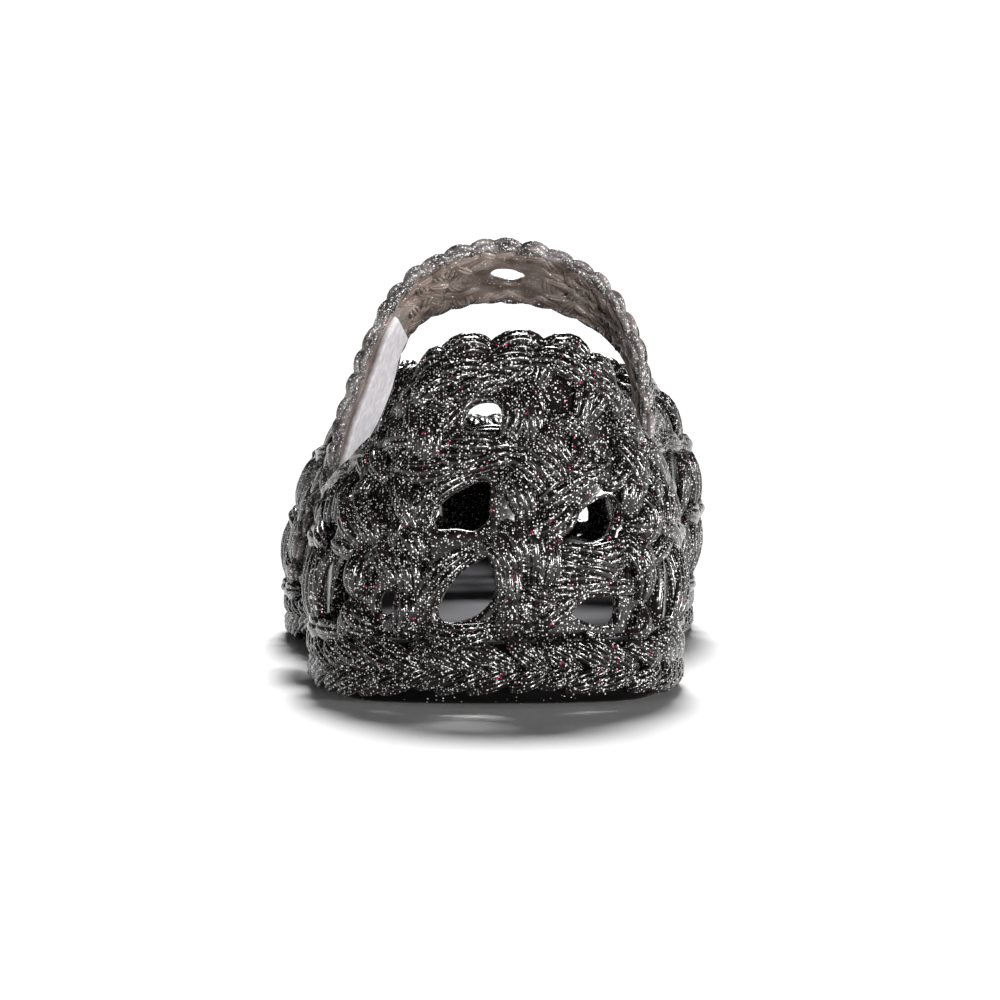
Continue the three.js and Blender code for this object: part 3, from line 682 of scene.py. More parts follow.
@dataclass
class Strands:
    """Many strands of one yarn joined in one mesh; seed starts their random draws."""

    name: str
    yarn: Yarn
    seed: int

    def __post_init__(self) -> None:
        """Start with no strands."""
        self.random = random.Random(self.seed)
        self.blocks: list[Array] = []
        self._make_ply()

    def _make_ply(self) -> None:
        """Make one straight ply, whose vertices say which ring and side they are."""
        yarn = self.yarn
        tube = bmesh.new()
        bmesh.ops.create_cone(tube, cap_ends=True, segments=yarn.sides, radius1=1, radius2=1, depth=1)
        rungs = [edge for edge in tube.edges if abs(edge.verts[0].co.z - edge.verts[1].co.z) > 0.5]
        bmesh.ops.subdivide_edges(tube, edges=rungs, cuts=yarn.rings - 2, use_grid_fill=True)
        bmesh.ops.recalc_face_normals(tube, faces=tube.faces)
        tube.verts.index_update()
        places = np.array([vertex.co for vertex in tube.verts])
        self.ring = np.rint((places[:, 2] + 0.5) * (yarn.rings - 1)).astype(int)
        self.angle = np.arctan2(places[:, 1], places[:, 0])
        self.faces = [[vertex.index for vertex in face.verts] for face in tube.faces]
        tube.free()

    def _turns(self, t: Array) -> list[Array]:
        """Return the angle of each ply about the strand's middle.

        Args:
            t: Shares along the strand.

        Returns:
            For each ply, its angle at every share.
        """
        yarn = self.yarn
        if yarn.bundle is Bundle.LEAF:
            twist = self.random.uniform(-0.5, 0.5)
            return [math.pi * (ply + 0.5) / yarn.plies + twist * (t - 0.5) for ply in range(yarn.plies)]
        start = self.random.uniform(0, 2 * math.pi)
        spin = 2 * math.pi * yarn.turns * self.random.choice((-1, 1))
        return [start + 2 * math.pi * ply / yarn.plies + spin * (t - 0.5) for ply in range(yarn.plies)]

    def lay(self, face: Face, stops: list[tuple[float, float]], width: float = 1.0,
            lift: float = 0.0, arch: float = 0.9 * MM) -> None:
        """Lay one strand on a face.

        Args:
            face: The face that it lies on.
            stops: Three places on the face, as its two coordinates: start, middle, end.
            width: Its width as a share of the yarn's.
            lift: How far its ends lie off the face.
            arch: How much further its middle lies off the face.
        """
        yarn = self.yarn
        t = np.linspace(0, 1, yarn.rings)
        a, b, c = (np.array(stop) for stop in stops)
        handle = 2 * b - (a + c) / 2
        path = (a * ((1 - t) ** 2)[:, None] + handle * (2 * (1 - t) * t)[:, None] + c * (t ** 2)[:, None])
        out = lift + arch * np.sin(np.pi * t) ** 0.8
        line = face.place(path[:, 0], path[:, 1], out)
        off = unit(face.place(path[:, 0], path[:, 1], out + MM) - line)
        tangent = unit(np.gradient(line, axis=0))
        across = unit(np.cross(off, tangent))
        off = np.cross(tangent, across)
        swell = yarn.taper + (1 - yarn.taper) * np.sin(np.pi * np.clip(t, 0.02, 0.98)) ** 0.6
        radius = yarn.ply_radius * (0.3 + 0.7 * swell) * (0.6 + 0.4 * width)
        size = radius[self.ring][:, None]
        for turn in self._turns(t):
            side = width * yarn.width / 2 * swell * np.cos(turn)
            deep = yarn.depth / 2 * swell * np.sin(turn)
            centre = line + across * side[:, None] + off * deep[:, None]
            side_way = across[self.ring] * np.cos(self.angle)[:, None]
            out_way = 0.9 * off[self.ring] * np.sin(self.angle)[:, None]
            self.blocks.append(centre[self.ring] + size * (side_way + out_way))

    def build(self, material: bpy.types.Material) -> bpy.types.Object:
        """Join the strands in one mesh object.

        Args:
            material: The finish of the piece.

        Returns:
            The finished piece, at the origin.
        """
        mesh = bpy.data.meshes.new(self.name)
        size = len(self.ring)
        starts = [size * block for block in range(len(self.blocks))]
        faces = [[start + corner for corner in face] for start in starts for face in self.faces]
        mesh.from_pydata(np.concatenate(self.blocks).tolist(), [], faces)
        mesh.shade_smooth()
        mesh.materials.append(material)
        return show(self.name, mesh)


def show(name: str, mesh: bpy.types.Mesh) -> bpy.types.Object:
    """Put a mesh in the scene as an object at the origin."""
    piece = bpy.data.objects.new(name, mesh)
    bpy.context.scene.collection.objects.link(piece)
    return piece


def finish_piece(piece: bpy.types.Object, node: str) -> None:
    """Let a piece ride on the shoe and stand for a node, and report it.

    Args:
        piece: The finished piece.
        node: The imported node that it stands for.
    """
    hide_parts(node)
    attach(piece, "root")
    piece.data.calc_loop_triangles()
    log.info("%s: %d triangles before modifiers", piece.name, len(piece.data.loop_triangles))


def linear(code: str) -> tuple[float, float, float, float]:
    """Return a colour written as sRGB hex in linear light."""
    values = [int(code[index:index + 2], 16) / 255 for index in (1, 3, 5)]
    parts = [value / 12.92 if value <= 0.04045 else ((value + 0.055) / 1.055) ** 2.4 for value in values]
    return (*parts, 1.0)


def add_node(tree: bpy.types.NodeTree, kind: str, inputs: dict | None = None,
             **settings: object) -> bpy.types.Node:
    """Add a node to a tree.

    Args:
        tree: The tree.
        kind: The node's type.
        inputs: Its sockets by name or number, each a value or another node's output.
        settings: Its properties.

    Returns:
        The node.
    """
    node = tree.nodes.new(kind)
    for key, value in settings.items():
        setattr(node, key, value)
    for key, value in (inputs or {}).items():
        if isinstance(value, bpy.types.NodeSocket):
            tree.links.new(value, node.inputs[key])
        else:
            node.inputs[key].default_value = value
    return node


class Recipe:
    """A node material in the making."""

    def __init__(self, name: str) -> None:
        """Start a material with its shader."""
        self.material = bpy.data.materials.new(name)
        self.material.use_nodes = True
        self.tree = self.material.node_tree
        self.shader = self.tree.nodes["Principled BSDF"]

    def add(self, kind: str, inputs: dict | None = None, **settings: object) -> bpy.types.Node:
        """Add a node to the material and return it."""
        return add_node(self.tree, kind, inputs, **settings)

    def shade(self, **sockets: object) -> None:
        """Set or link the shader's sockets, whose names are written with underscores."""
        for key, value in sockets.items():
            socket = self.shader.inputs[key.replace("_", " ")]
            if isinstance(value, bpy.types.NodeSocket):
                self.tree.links.new(value, socket)
            else:
                socket.default_value = value


@dataclass(frozen=True)
class GlitterPvc:
    """Injection-moulded PVC, smoky and clear, full of fine silver flecks with a few crimson ones.

    The mould leaves it glossy with slight waves. Its finest flecks are drawn coarser than real glitter
    dust, by an unmeasured amount, so that they show.
    """

    name: str
    body: str = "#0e0a0a"
    haze: str = "#231c1b"
    silver: str = "#fbfaf8"
    crimson: str = "#c8285a"
    fine_pitch: float = 0.31 * MM
    fine_share: float = 0.6
    coarse_pitch: float = 0.66 * MM
    coarse_share: float = 0.36
    crimson_share: float = 0.16
    haze_pitch: float = 10 / 3 * MM
    wave_pitch: float = 20 / 13 * MM
    roughness: float = 0.19
    relief: float = 0.16
    coat: float = 0.12
    gloss: float = 0.5

    def _flecks(self, recipe: Recipe, place: bpy.types.NodeSocket, pitch: float, share: float,
                size: float) -> tuple[bpy.types.NodeSocket, bpy.types.NodeSocket]:
        """Add one size of fleck, each the heart of a cell with its own brightness.

        Args:
            recipe: The material in the making.
            place: The place on the shoe.
            pitch: The flecks' spacing.
            share: The share of the cells that hold one.
            size: A fleck's radius as a share of the spacing.

        Returns:
            The flecks' brightness, and the draw that picks their colour.
        """
        cells = recipe.add("ShaderNodeTexVoronoi", {"Vector": place, "Scale": 1 / pitch, "Randomness": 1.0},
                           feature="F1", voronoi_dimensions="3D")
        draws = recipe.add("ShaderNodeSeparateColor", {"Color": cells.outputs["Color"]})
        heart = recipe.add("ShaderNodeMapRange", {
            "Value": cells.outputs["Distance"], "From Min": size, "From Max": size - 0.08,
        }).outputs["Result"]
        kept = recipe.add("ShaderNodeMath", {0: draws.outputs["Red"], 1: share},
                          operation="LESS_THAN").outputs[0]
        bright = recipe.add("ShaderNodeMapRange", {
            "Value": draws.outputs["Green"], "From Min": 0.0, "From Max": 0.9, "To Min": 0.05, "To Max": 1.0,
        }).outputs["Result"]
        shown = recipe.add("ShaderNodeMath", {0: heart, 1: kept}, operation="MULTIPLY").outputs[0]
        amount = recipe.add("ShaderNodeMath", {0: shown, 1: bright}, operation="MULTIPLY").outputs[0]
        return amount, draws.outputs["Blue"]

    def make(self) -> bpy.types.Material:
        """Make the material from two sizes of fleck in a smoky body."""
        recipe = Recipe(self.name)
        place = recipe.add("ShaderNodeTexCoord").outputs["Object"]
        fine, _ = self._flecks(recipe, place, self.fine_pitch, self.fine_share, 0.38)
        coarse, hue = self._flecks(recipe, place, self.coarse_pitch, self.coarse_share, 0.26)
        both = recipe.add("ShaderNodeMath", {0: fine, 1: coarse}, operation="MAXIMUM").outputs[0]
        cloud = recipe.add("ShaderNodeTexNoise", {
            "Vector": place, "Scale": 1 / self.haze_pitch, "Detail": 3.0,
        }).outputs["Fac"]
        mist = recipe.add("ShaderNodeMapRange", {
            "Value": cloud, "From Min": 0.4, "From Max": 0.75,
        }).outputs["Result"]
        body = recipe.add("ShaderNodeMix", {
            0: mist, 6: linear(self.body), 7: linear(self.haze),
        }, data_type="RGBA").outputs[2]
        rare = recipe.add("ShaderNodeMath", {0: hue, 1: self.crimson_share}, operation="LESS_THAN").outputs[0]
        red = recipe.add("ShaderNodeMath", {0: rare, 1: coarse}, operation="MULTIPLY").outputs[0]
        reds = recipe.add("ShaderNodeMath", {0: red, 1: 0.02}, operation="GREATER_THAN").outputs[0]
        foil = recipe.add("ShaderNodeMix", {
            0: reds, 6: linear(self.silver), 7: linear(self.crimson),
        }, data_type="RGBA").outputs[2]
        colour = recipe.add("ShaderNodeMix", {0: both, 6: body, 7: foil}, data_type="RGBA").outputs[2]
        waves = recipe.add("ShaderNodeTexNoise", {
            "Vector": place, "Scale": 1 / self.wave_pitch, "Detail": 2.0,
        }).outputs["Fac"]
        bump = recipe.add("ShaderNodeBump", {"Height": waves, "Strength": self.relief, "Distance": 0.25 * MM})
        recipe.shade(Base_Color=colour, Roughness=self.roughness, IOR=1.46, Normal=bump.outputs["Normal"],
                     Specular_IOR_Level=self.gloss,
                     Coat_Weight=self.coat, Coat_Roughness=0.08, Sheen_Weight=0.05, Sheen_Roughness=0.3)
        return recipe.material


@dataclass(frozen=True)
class FoamFootbed:
    """Moulded EVA foam footbed: dull dark grey, a little cloudy, with fine pores."""

    name: str = "moulded_eva_footbed"
    light: str = "#5e5d61"
    dark: str = "#49484c"
    cloud_pitch: float = 100 / 9 * MM
    pore_pitch: float = 0.6 * MM

    def make(self) -> bpy.types.Material:
        """Make the material from cloudy greys and fine pores."""
        recipe = Recipe(self.name)
        place = recipe.add("ShaderNodeTexCoord").outputs["Object"]
        cloud = recipe.add("ShaderNodeTexNoise", {
            "Vector": place, "Scale": 1 / self.cloud_pitch, "Detail": 4.0,
        }).outputs["Fac"]
        pores = recipe.add("ShaderNodeTexVoronoi", {
            "Vector": place, "Scale": 1 / self.pore_pitch,
        }).outputs["Distance"]
        colour = recipe.add("ShaderNodeMix", {0: cloud, 6: linear(self.dark), 7: linear(self.light)},
                            data_type="RGBA").outputs[2]
        bump = recipe.add("ShaderNodeBump", {"Height": pores, "Strength": 0.3, "Distance": 0.1 * MM})
        rough = recipe.add("ShaderNodeMapRange", {
            "Value": cloud, "To Min": 0.78, "To Max": 0.92,
        }).outputs["Result"]
        recipe.shade(Base_Color=colour, Roughness=rough, Normal=bump.outputs["Normal"],
                     Specular_IOR_Level=0.2)
        return recipe.material


@dataclass(frozen=True)
class HookNap:
    """Woven nylon closure tape: pale silvery lavender with a short matt nap."""

    name: str = "woven_nylon_closure_tape"
    light: str = "#f4f1f4"
    dark: str = "#cdc7cc"
    nap_pitch: float = 10 / 9 * MM

    def make(self) -> bpy.types.Material:
        """Make the material from mottled pale nap."""
        recipe = Recipe(self.name)
        place = recipe.add("ShaderNodeTexCoord").outputs["Object"]
        mottle = recipe.add("ShaderNodeTexNoise", {
            "Vector": place, "Scale": 1 / self.nap_pitch, "Detail": 4.0,
        }).outputs["Fac"]
        spread = recipe.add("ShaderNodeMapRange", {
            "Value": mottle, "From Min": 0.3, "From Max": 0.7,
        }).outputs["Result"]
        colour = recipe.add("ShaderNodeMix", {0: spread, 6: linear(self.dark), 7: linear(self.light)},
                            data_type="RGBA").outputs[2]
        bump = recipe.add("ShaderNodeBump", {"Height": mottle, "Strength": 0.5, "Distance": 0.25 * MM})
        recipe.shade(Base_Color=colour, Roughness=0.8, Normal=bump.outputs["Normal"],
                     Sheen_Weight=0.3, Sheen_Roughness=0.4)
        return recipe.material


def grid_mesh(across: int, along: int) -> bmesh.types.BMesh:
    """Return a flat grid over the unit square, as many faces across as along."""
    grid = bmesh.new()
    bmesh.ops.create_grid(grid, x_segments=across, y_segments=along, size=0.5)
    bmesh.ops.translate(grid, verts=grid.verts, vec=Vector((0.5, 0.5, 0)))
    return grid


def gap_reach(corners: Array, centre: Array) -> tuple[Array, Array]:
    """Look at a gap's rounded edge from its centre.

    Args:
        corners: The gap's corners.
        centre: Its centre.

    Returns:
        Directions round the centre, and how far the edge lies in each.
    """
    points = np.concatenate([corners, np.zeros((len(corners), 1))], axis=1)
    edge = catmull(points, np.linspace(0, 1, 181)[:-1], True)[:, :2] - centre
    angle = np.arctan2(edge[:, 1], edge[:, 0])
    order = np.argsort(angle)
    angle = angle[order]
    reach = np.hypot(edge[order, 0], edge[order, 1])
    angle = np.concatenate([[angle[-1] - 2 * math.pi], angle, [angle[0] + 2 * math.pi]])
    return angle, np.concatenate([[reach[-1]], reach, [reach[0]]])


@dataclass(frozen=True)
class Gap:
    """A gap in a flat pattern, seen from its own centre."""

    centre: Array
    angles: Array
    reaches: Array

    @classmethod
    def of(cls, corners: Array, size: float = 1.0) -> "Gap":
        """Return the gap with these corners, made larger or smaller about its centre."""
        centre = corners.mean(axis=0)
        angles, reaches = gap_reach(centre + (corners - centre) * size, centre)
        return cls(centre, angles, reaches)

    def edge_from(self, places: Array) -> tuple[Array, Array, Array]:
        """Look from the centre towards places.

        Args:
            places: Places in the pattern.

        Returns:
            How far each lies, how far the edge lies that way, and that place on the edge.
        """
        off = places - self.centre
        angle = np.arctan2(off[..., 1], off[..., 0])
        reach = np.interp(angle, self.angles, self.reaches)
        edge = self.centre + reach[..., None] * np.stack([np.cos(angle), np.sin(angle)], axis=-1)
        return np.hypot(off[..., 0], off[..., 1]), reach, edge

    def pushed(self, place: Array, margin: float) -> Array:
        """Return a place moved off the gap so that a margin is left to its edge."""
        far, reach, edge = self.edge_from(place)
        if far >= reach + margin or far < 1e-6:
            return place
        return self.centre + (edge - self.centre) / reach * (reach + margin)


def cut_gaps(grid: bmesh.types.BMesh, gaps: list[Gap]) -> None:
    """Cut gaps in a flat pattern: faces inside go, and corners inside move to the edge.

    Args:
        grid: The pattern.
        gaps: The gaps.
    """
    grid.verts.ensure_lookup_table()
    places = np.array([vertex.co[:2] for vertex in grid.verts])
    inside = {}
    for gap in gaps:
        far, reach, edge = gap.edge_from(places)
        for index in np.flatnonzero(far < reach):
            inside[grid.verts[int(index)]] = edge[index]
    gone = [face for face in grid.faces if all(vertex in inside for vertex in face.verts)]
    bmesh.ops.delete(grid, geom=gone, context="FACES")
    for vertex, place in inside.items():
        if vertex.is_valid:
            vertex.co.x, vertex.co.y = place


def close_shell(grid: bmesh.types.BMesh, face: Face, scale: tuple[float, float],
                outs: tuple[float, float]) -> None:
    """Turn a flat pattern into a closed shell on a face, with material 0 outside and 1 elsewhere.

    Args:
        grid: The pattern, in metres.
        face: The face that it lies on.
        scale: What each of the pattern's coordinates is divided by to give the face's.
        outs: Heights of the shell's outer and inner layer off the face.
    """
    bmesh.ops.dissolve_degenerate(grid, dist=0.02 * MM, edges=grid.edges)
    made = bmesh.ops.extrude_face_region(grid, geom=grid.faces[:], use_keep_orig=True)["geom"]
    raised = {item for item in made if isinstance(item, bmesh.types.BMVert)}
    places = np.array([vertex.co for vertex in grid.verts])
    out = np.array([outs[0] if vertex in raised else outs[1] for vertex in grid.verts])
    laid = face.place(places[:, 0] / scale[0], places[:, 1] / scale[1], out)
    for vertex, place in zip(grid.verts, laid):
        vertex.co = place
    for item in grid.faces:
        item.material_index = 0 if all(vertex in raised for vertex in item.verts) else 1
    bmesh.ops.recalc_face_normals(grid, faces=grid.faces)


def shell_piece(name: str, grid: bmesh.types.BMesh, outside: bpy.types.Material,
                inside: bpy.types.Material) -> bpy.types.Object:
    """Make a smooth piece of a closed shell.

    Args:
        name: The piece's name.
        grid: The shell, which is freed.
        outside: The finish of its outer layer.
        inside: The finish of the rest.

    Returns:
        The finished piece, at the origin.
    """
    mesh = bpy.data.meshes.new(name)
    grid.to_mesh(mesh)
    grid.free()
    mesh.shade_smooth()
    mesh.materials.append(outside)
    mesh.materials.append(inside)
    piece = show(name, mesh)
    smooth = piece.modifiers.new("Subdivision", "SUBSURF")
    smooth.levels = smooth.render_levels = 1
    return piece


@dataclass
class Upper:
    """Vamp, quarters and counter: a smooth wall with gaps, and the leaves moulded on it.

    back is how far the wall's outer layer lies in from the face that carries the leaves, gap_size how
    much larger the counter's gaps are than their corners say, and clump_pitch and clump_rise space the
    counter's small leaves, in mm.
    """

    finish: bpy.types.Material
    yarn: Yarn = Yarn(width=2.3 * MM, depth=1.5 * MM, ply_radius=0.72 * MM, plies=3, sides=7)
    collar_yarn: Yarn = Yarn(width=3.0 * MM, depth=1.8 * MM, ply_radius=0.72 * MM, rings=11)
    collar_pitch: float = 6.6 * MM
    back: float = 0.8 * MM
    faces_round: int = 304
    faces_up: int = 30
    gap_size: float = 1.13
    clump_pitch: float = 4.6
    clump_rise: float = 4.3
    shortest_leaf: float = 4 * MM

    def __post_init__(self) -> None:
        """Lay out the gaps and start the groups of leaves."""
        self.random = random.Random(7)
        self.gaps = [Gap.of(np.array(corners) * MM, self.gap_size) for corners in HEEL_GAPS]
        self.gaps += [Gap.of(self._cell_corners(column, row)) for column, row in sorted(LATTICE.gaps)
                      if abs(self._signed(column) + 0.5) > 2]
        self.groups = {name: Strands(f"{name}_stitches", self.yarn, seed)
                       for seed, name in enumerate(("counter", "quarter", "vamp"), start=11)}

    @staticmethod
    def _signed(column: int) -> int:
        """Return a column counted from the heel, lateral ones below zero."""
        return column if column < LATTICE.columns / 2 else column - LATTICE.columns

    def _cell_corners(self, column: int, row: int) -> Array:
        """Return the corners of a cell's gap, a little uneven.

        Args:
            column: The cell's column.
            row: Its row.

        Returns:
            The corners in metres round the sole and up the wall.
        """
        uneven = [(a + self._jitter(0.1), b + self._jitter(0.1)) for a, b in GAP_CORNERS]
        corners = np.array(uneven) / 2 + 0.5
        rounds = (self._signed(column) + corners[:, 0]) / LATTICE.columns
        return np.stack([rounds * OUTLINE.girth, LATTICE.climb(rounds, row + corners[:, 1])], axis=1)

    def build_wall(self) -> bpy.types.Object:
        """Build the wall that carries the leaves, with its gaps, as one closed shell."""
        grid = grid_mesh(self.faces_round, self.faces_up)
        for vertex in grid.verts:
            turn = vertex.co.x - 0.5
            vertex.co.x = turn * OUTLINE.girth
            vertex.co.y *= float(WALL.climb_full(np.array(turn)))
        half = OUTLINE.girth / 2
        ends = [sorted((vertex for vertex in grid.verts if sign * vertex.co.x > half - 0.01 * MM),
                       key=lambda vertex: vertex.co.y) for sign in (1, -1)]
        bmesh.ops.weld_verts(grid, targetmap=dict(zip(*ends)))
        cut_gaps(grid, self.gaps)
        close_shell(grid, WALL, (OUTLINE.girth, 1), (-self.back, -LAST.wall))
        return shell_piece("upper_wall", grid, self.finish, self.finish)

    def _jitter(self, amount: float) -> float:
        """Return a small random offset."""
        return self.random.uniform(-amount, amount)

    def _leaf(self, stops: Array, width: float, lift: float) -> None:
        """Lay one leaf given in metres round the sole and up the wall, clear of the gaps.

        Args:
            stops: Its start, middle and end.
            width: Its width as a share of the yarn's.
            lift: How far its ends lie off the wall.
        """
        margin = (0.45 * self.yarn.width + self.yarn.ply_radius) * width
        near = [gap for gap in self.gaps if abs(gap.centre[0] - stops[1][0]) < 16 * MM]
        for gap in near:
            stops = np.array([gap.pushed(stop, margin) for stop in stops])
        t = np.linspace(0, 1, 9)[:, None]
        handle = 2 * stops[1] - (stops[0] + stops[2]) / 2
        path = stops[0] * (1 - t) ** 2 + handle * 2 * (1 - t) * t + stops[2] * t ** 2
        seen = [gap.edge_from(path) for gap in near]
        if any(float(np.min(far - reach)) < 0.8 * margin for far, reach, _ in seen):
            return
        rounds = stops[:, 0] / OUTLINE.girth
        climbs = np.clip(stops[:, 1], 0.8 * MM, WALL.climb_full(rounds) - 0.8 * MM)
        ends = WALL.place(rounds, climbs, np.zeros(3))
        if np.linalg.norm(ends[2] - ends[0]) < self.shortest_leaf or bool(LATTICE.on_pad(ends[1])):
            return
        y = ends[1][1] - OUTLINE.shift[1]
        region = "counter" if y < 0.03 else "quarter" if y < 0.1 else "vamp"
        path = list(zip(rounds.tolist(), climbs.tolist()))
        self.groups[region].lay(WALL, path, width, lift, 0.9 * MM)

    def _lay_heel(self) -> None:
        """Lay the counter's leaves: small ones in all directions under the listed ones."""
        for level in range(9):
            for step in range(-6, 7):
                aside = step * self.clump_pitch + self._jitter(1.6)
                climb = 3.0 + level * self.clump_rise + self._jitter(1.4)
                middle = np.array([aside, climb]) * MM
                if abs(middle[0]) > HAND_REACH:
                    continue
                angle = self.random.uniform(0, math.pi)
                half = np.array([math.cos(angle), math.sin(angle)]) * self.random.uniform(3.2, 4.6) * MM
                bow = np.array([-half[1], half[0]]) * self._jitter(0.25)
                self._leaf(np.array([middle - half, middle + bow, middle + half]), 0.85, -0.95 * MM)
        for index, leaf in enumerate(HEEL_LEAVES):
            stops = np.array(leaf) * MM
            longer = (stops[2] - stops[0]) * 0.08
            stops = np.array([stops[0] - longer, stops[1], stops[2] + longer])
            self._leaf(stops, self.random.uniform(0.95, 1.2), (-0.55 if index % 2 else -0.25) * MM)

    def _lay_cell(self, column: int, row: int) -> None:
        """Lay the leaves of one cell: a fan up each side, two across, and two more if it is closed.

        Args:
            column: The cell's column.
            row: Its row.
        """
        closed = (column, row) not in LATTICE.gaps
        paths = [
            ((-0.2, 0.0), (-0.16, 0.5), (-0.26, 1.0), 0.9, -0.8),
            ((0.06, 0.06), (0.12, 0.5), (0.4, 0.94), 0.9, -0.7),
            ((-0.1, -0.04), (0.0, 0.5), (0.14, 1.06), 1.05, -0.3),
            ((-0.22, -0.14), (0.3, 0.02), (0.86, 0.12), 0.95, -0.5),
            ((0.3, 0.16), (0.8, 0.02), (1.3, -0.12), 0.95, -0.1),
        ]
        if closed:
            paths += [
                ((0.28, 0.0), (0.42, 0.5), (0.8, 0.92), 1.1, -0.6),
                ((0.74, 0.02), (0.6, 0.5), (0.26, 0.96), 1.1, -0.2),
            ]
        for *stops, width, lift in paths:
            moved = [(self._signed(column) + u + self._jitter(0.1), row + v + self._jitter(0.09))
                     for u, v in stops]
            rounds = np.array([u for u, _ in moved]) / LATTICE.columns
            climbs = LATTICE.climb(rounds, np.clip([v for _, v in moved], 0, LATTICE.rows))
            if abs(rounds[1]) * OUTLINE.girth < HAND_REACH:
                continue
            laid = np.stack([rounds * OUTLINE.girth, climbs], axis=1)
            self._leaf(laid, width * self.random.uniform(0.9, 1.12), lift * MM)

    def build_stitches(self) -> list[bpy.types.Object]:
        """Build the leaves of counter, quarters and vamp."""
        self._lay_heel()
        for column in range(LATTICE.columns):
            for row in range(LATTICE.rows):
                self._lay_cell(column, row)
        return [group.build(self.finish) for group in self.groups.values()]

    def build_collar(self) -> bpy.types.Object:
        """Build the scalloped chain of shells along the collar and the throat."""
        chain = Strands("collar_rope", self.collar_yarn, 21)
        rounds = np.linspace(-0.5, 1.5, 4001)
        run = run_of(WALL.place(rounds, WALL.climb_full(rounds), np.zeros(4001)))
        whole = run[-1] / 2
        start = float(np.interp(0, rounds, run))
        count = round(whole / self.collar_pitch)
        for index in range(count):
            middle = start + whole * index / count + self._jitter(0.5) * MM
            reach = self.random.uniform(4.8, 5.5) * MM
            turns = np.interp([middle - reach, middle, middle + reach], run, rounds)
            rise = np.array([-2.9, 0.8 + self._jitter(0.5), -1.9]) * MM
            stops = list(zip(turns.tolist(), (WALL.climb_full(turns) + rise).tolist()))
            chain.lay(WALL, stops, 1.0, -1.9 * MM, 1.5 * MM)
        return chain.build(self.finish)


class StrapLining(Face):
    """The strap's inner face."""

    def place(self, u: Array, v: Array, out: Array) -> Array:
        """Return places by share of the run, share across and height off the inner face."""
        return STRAP.place(u, v, -0.75 * MM - np.asarray(out))


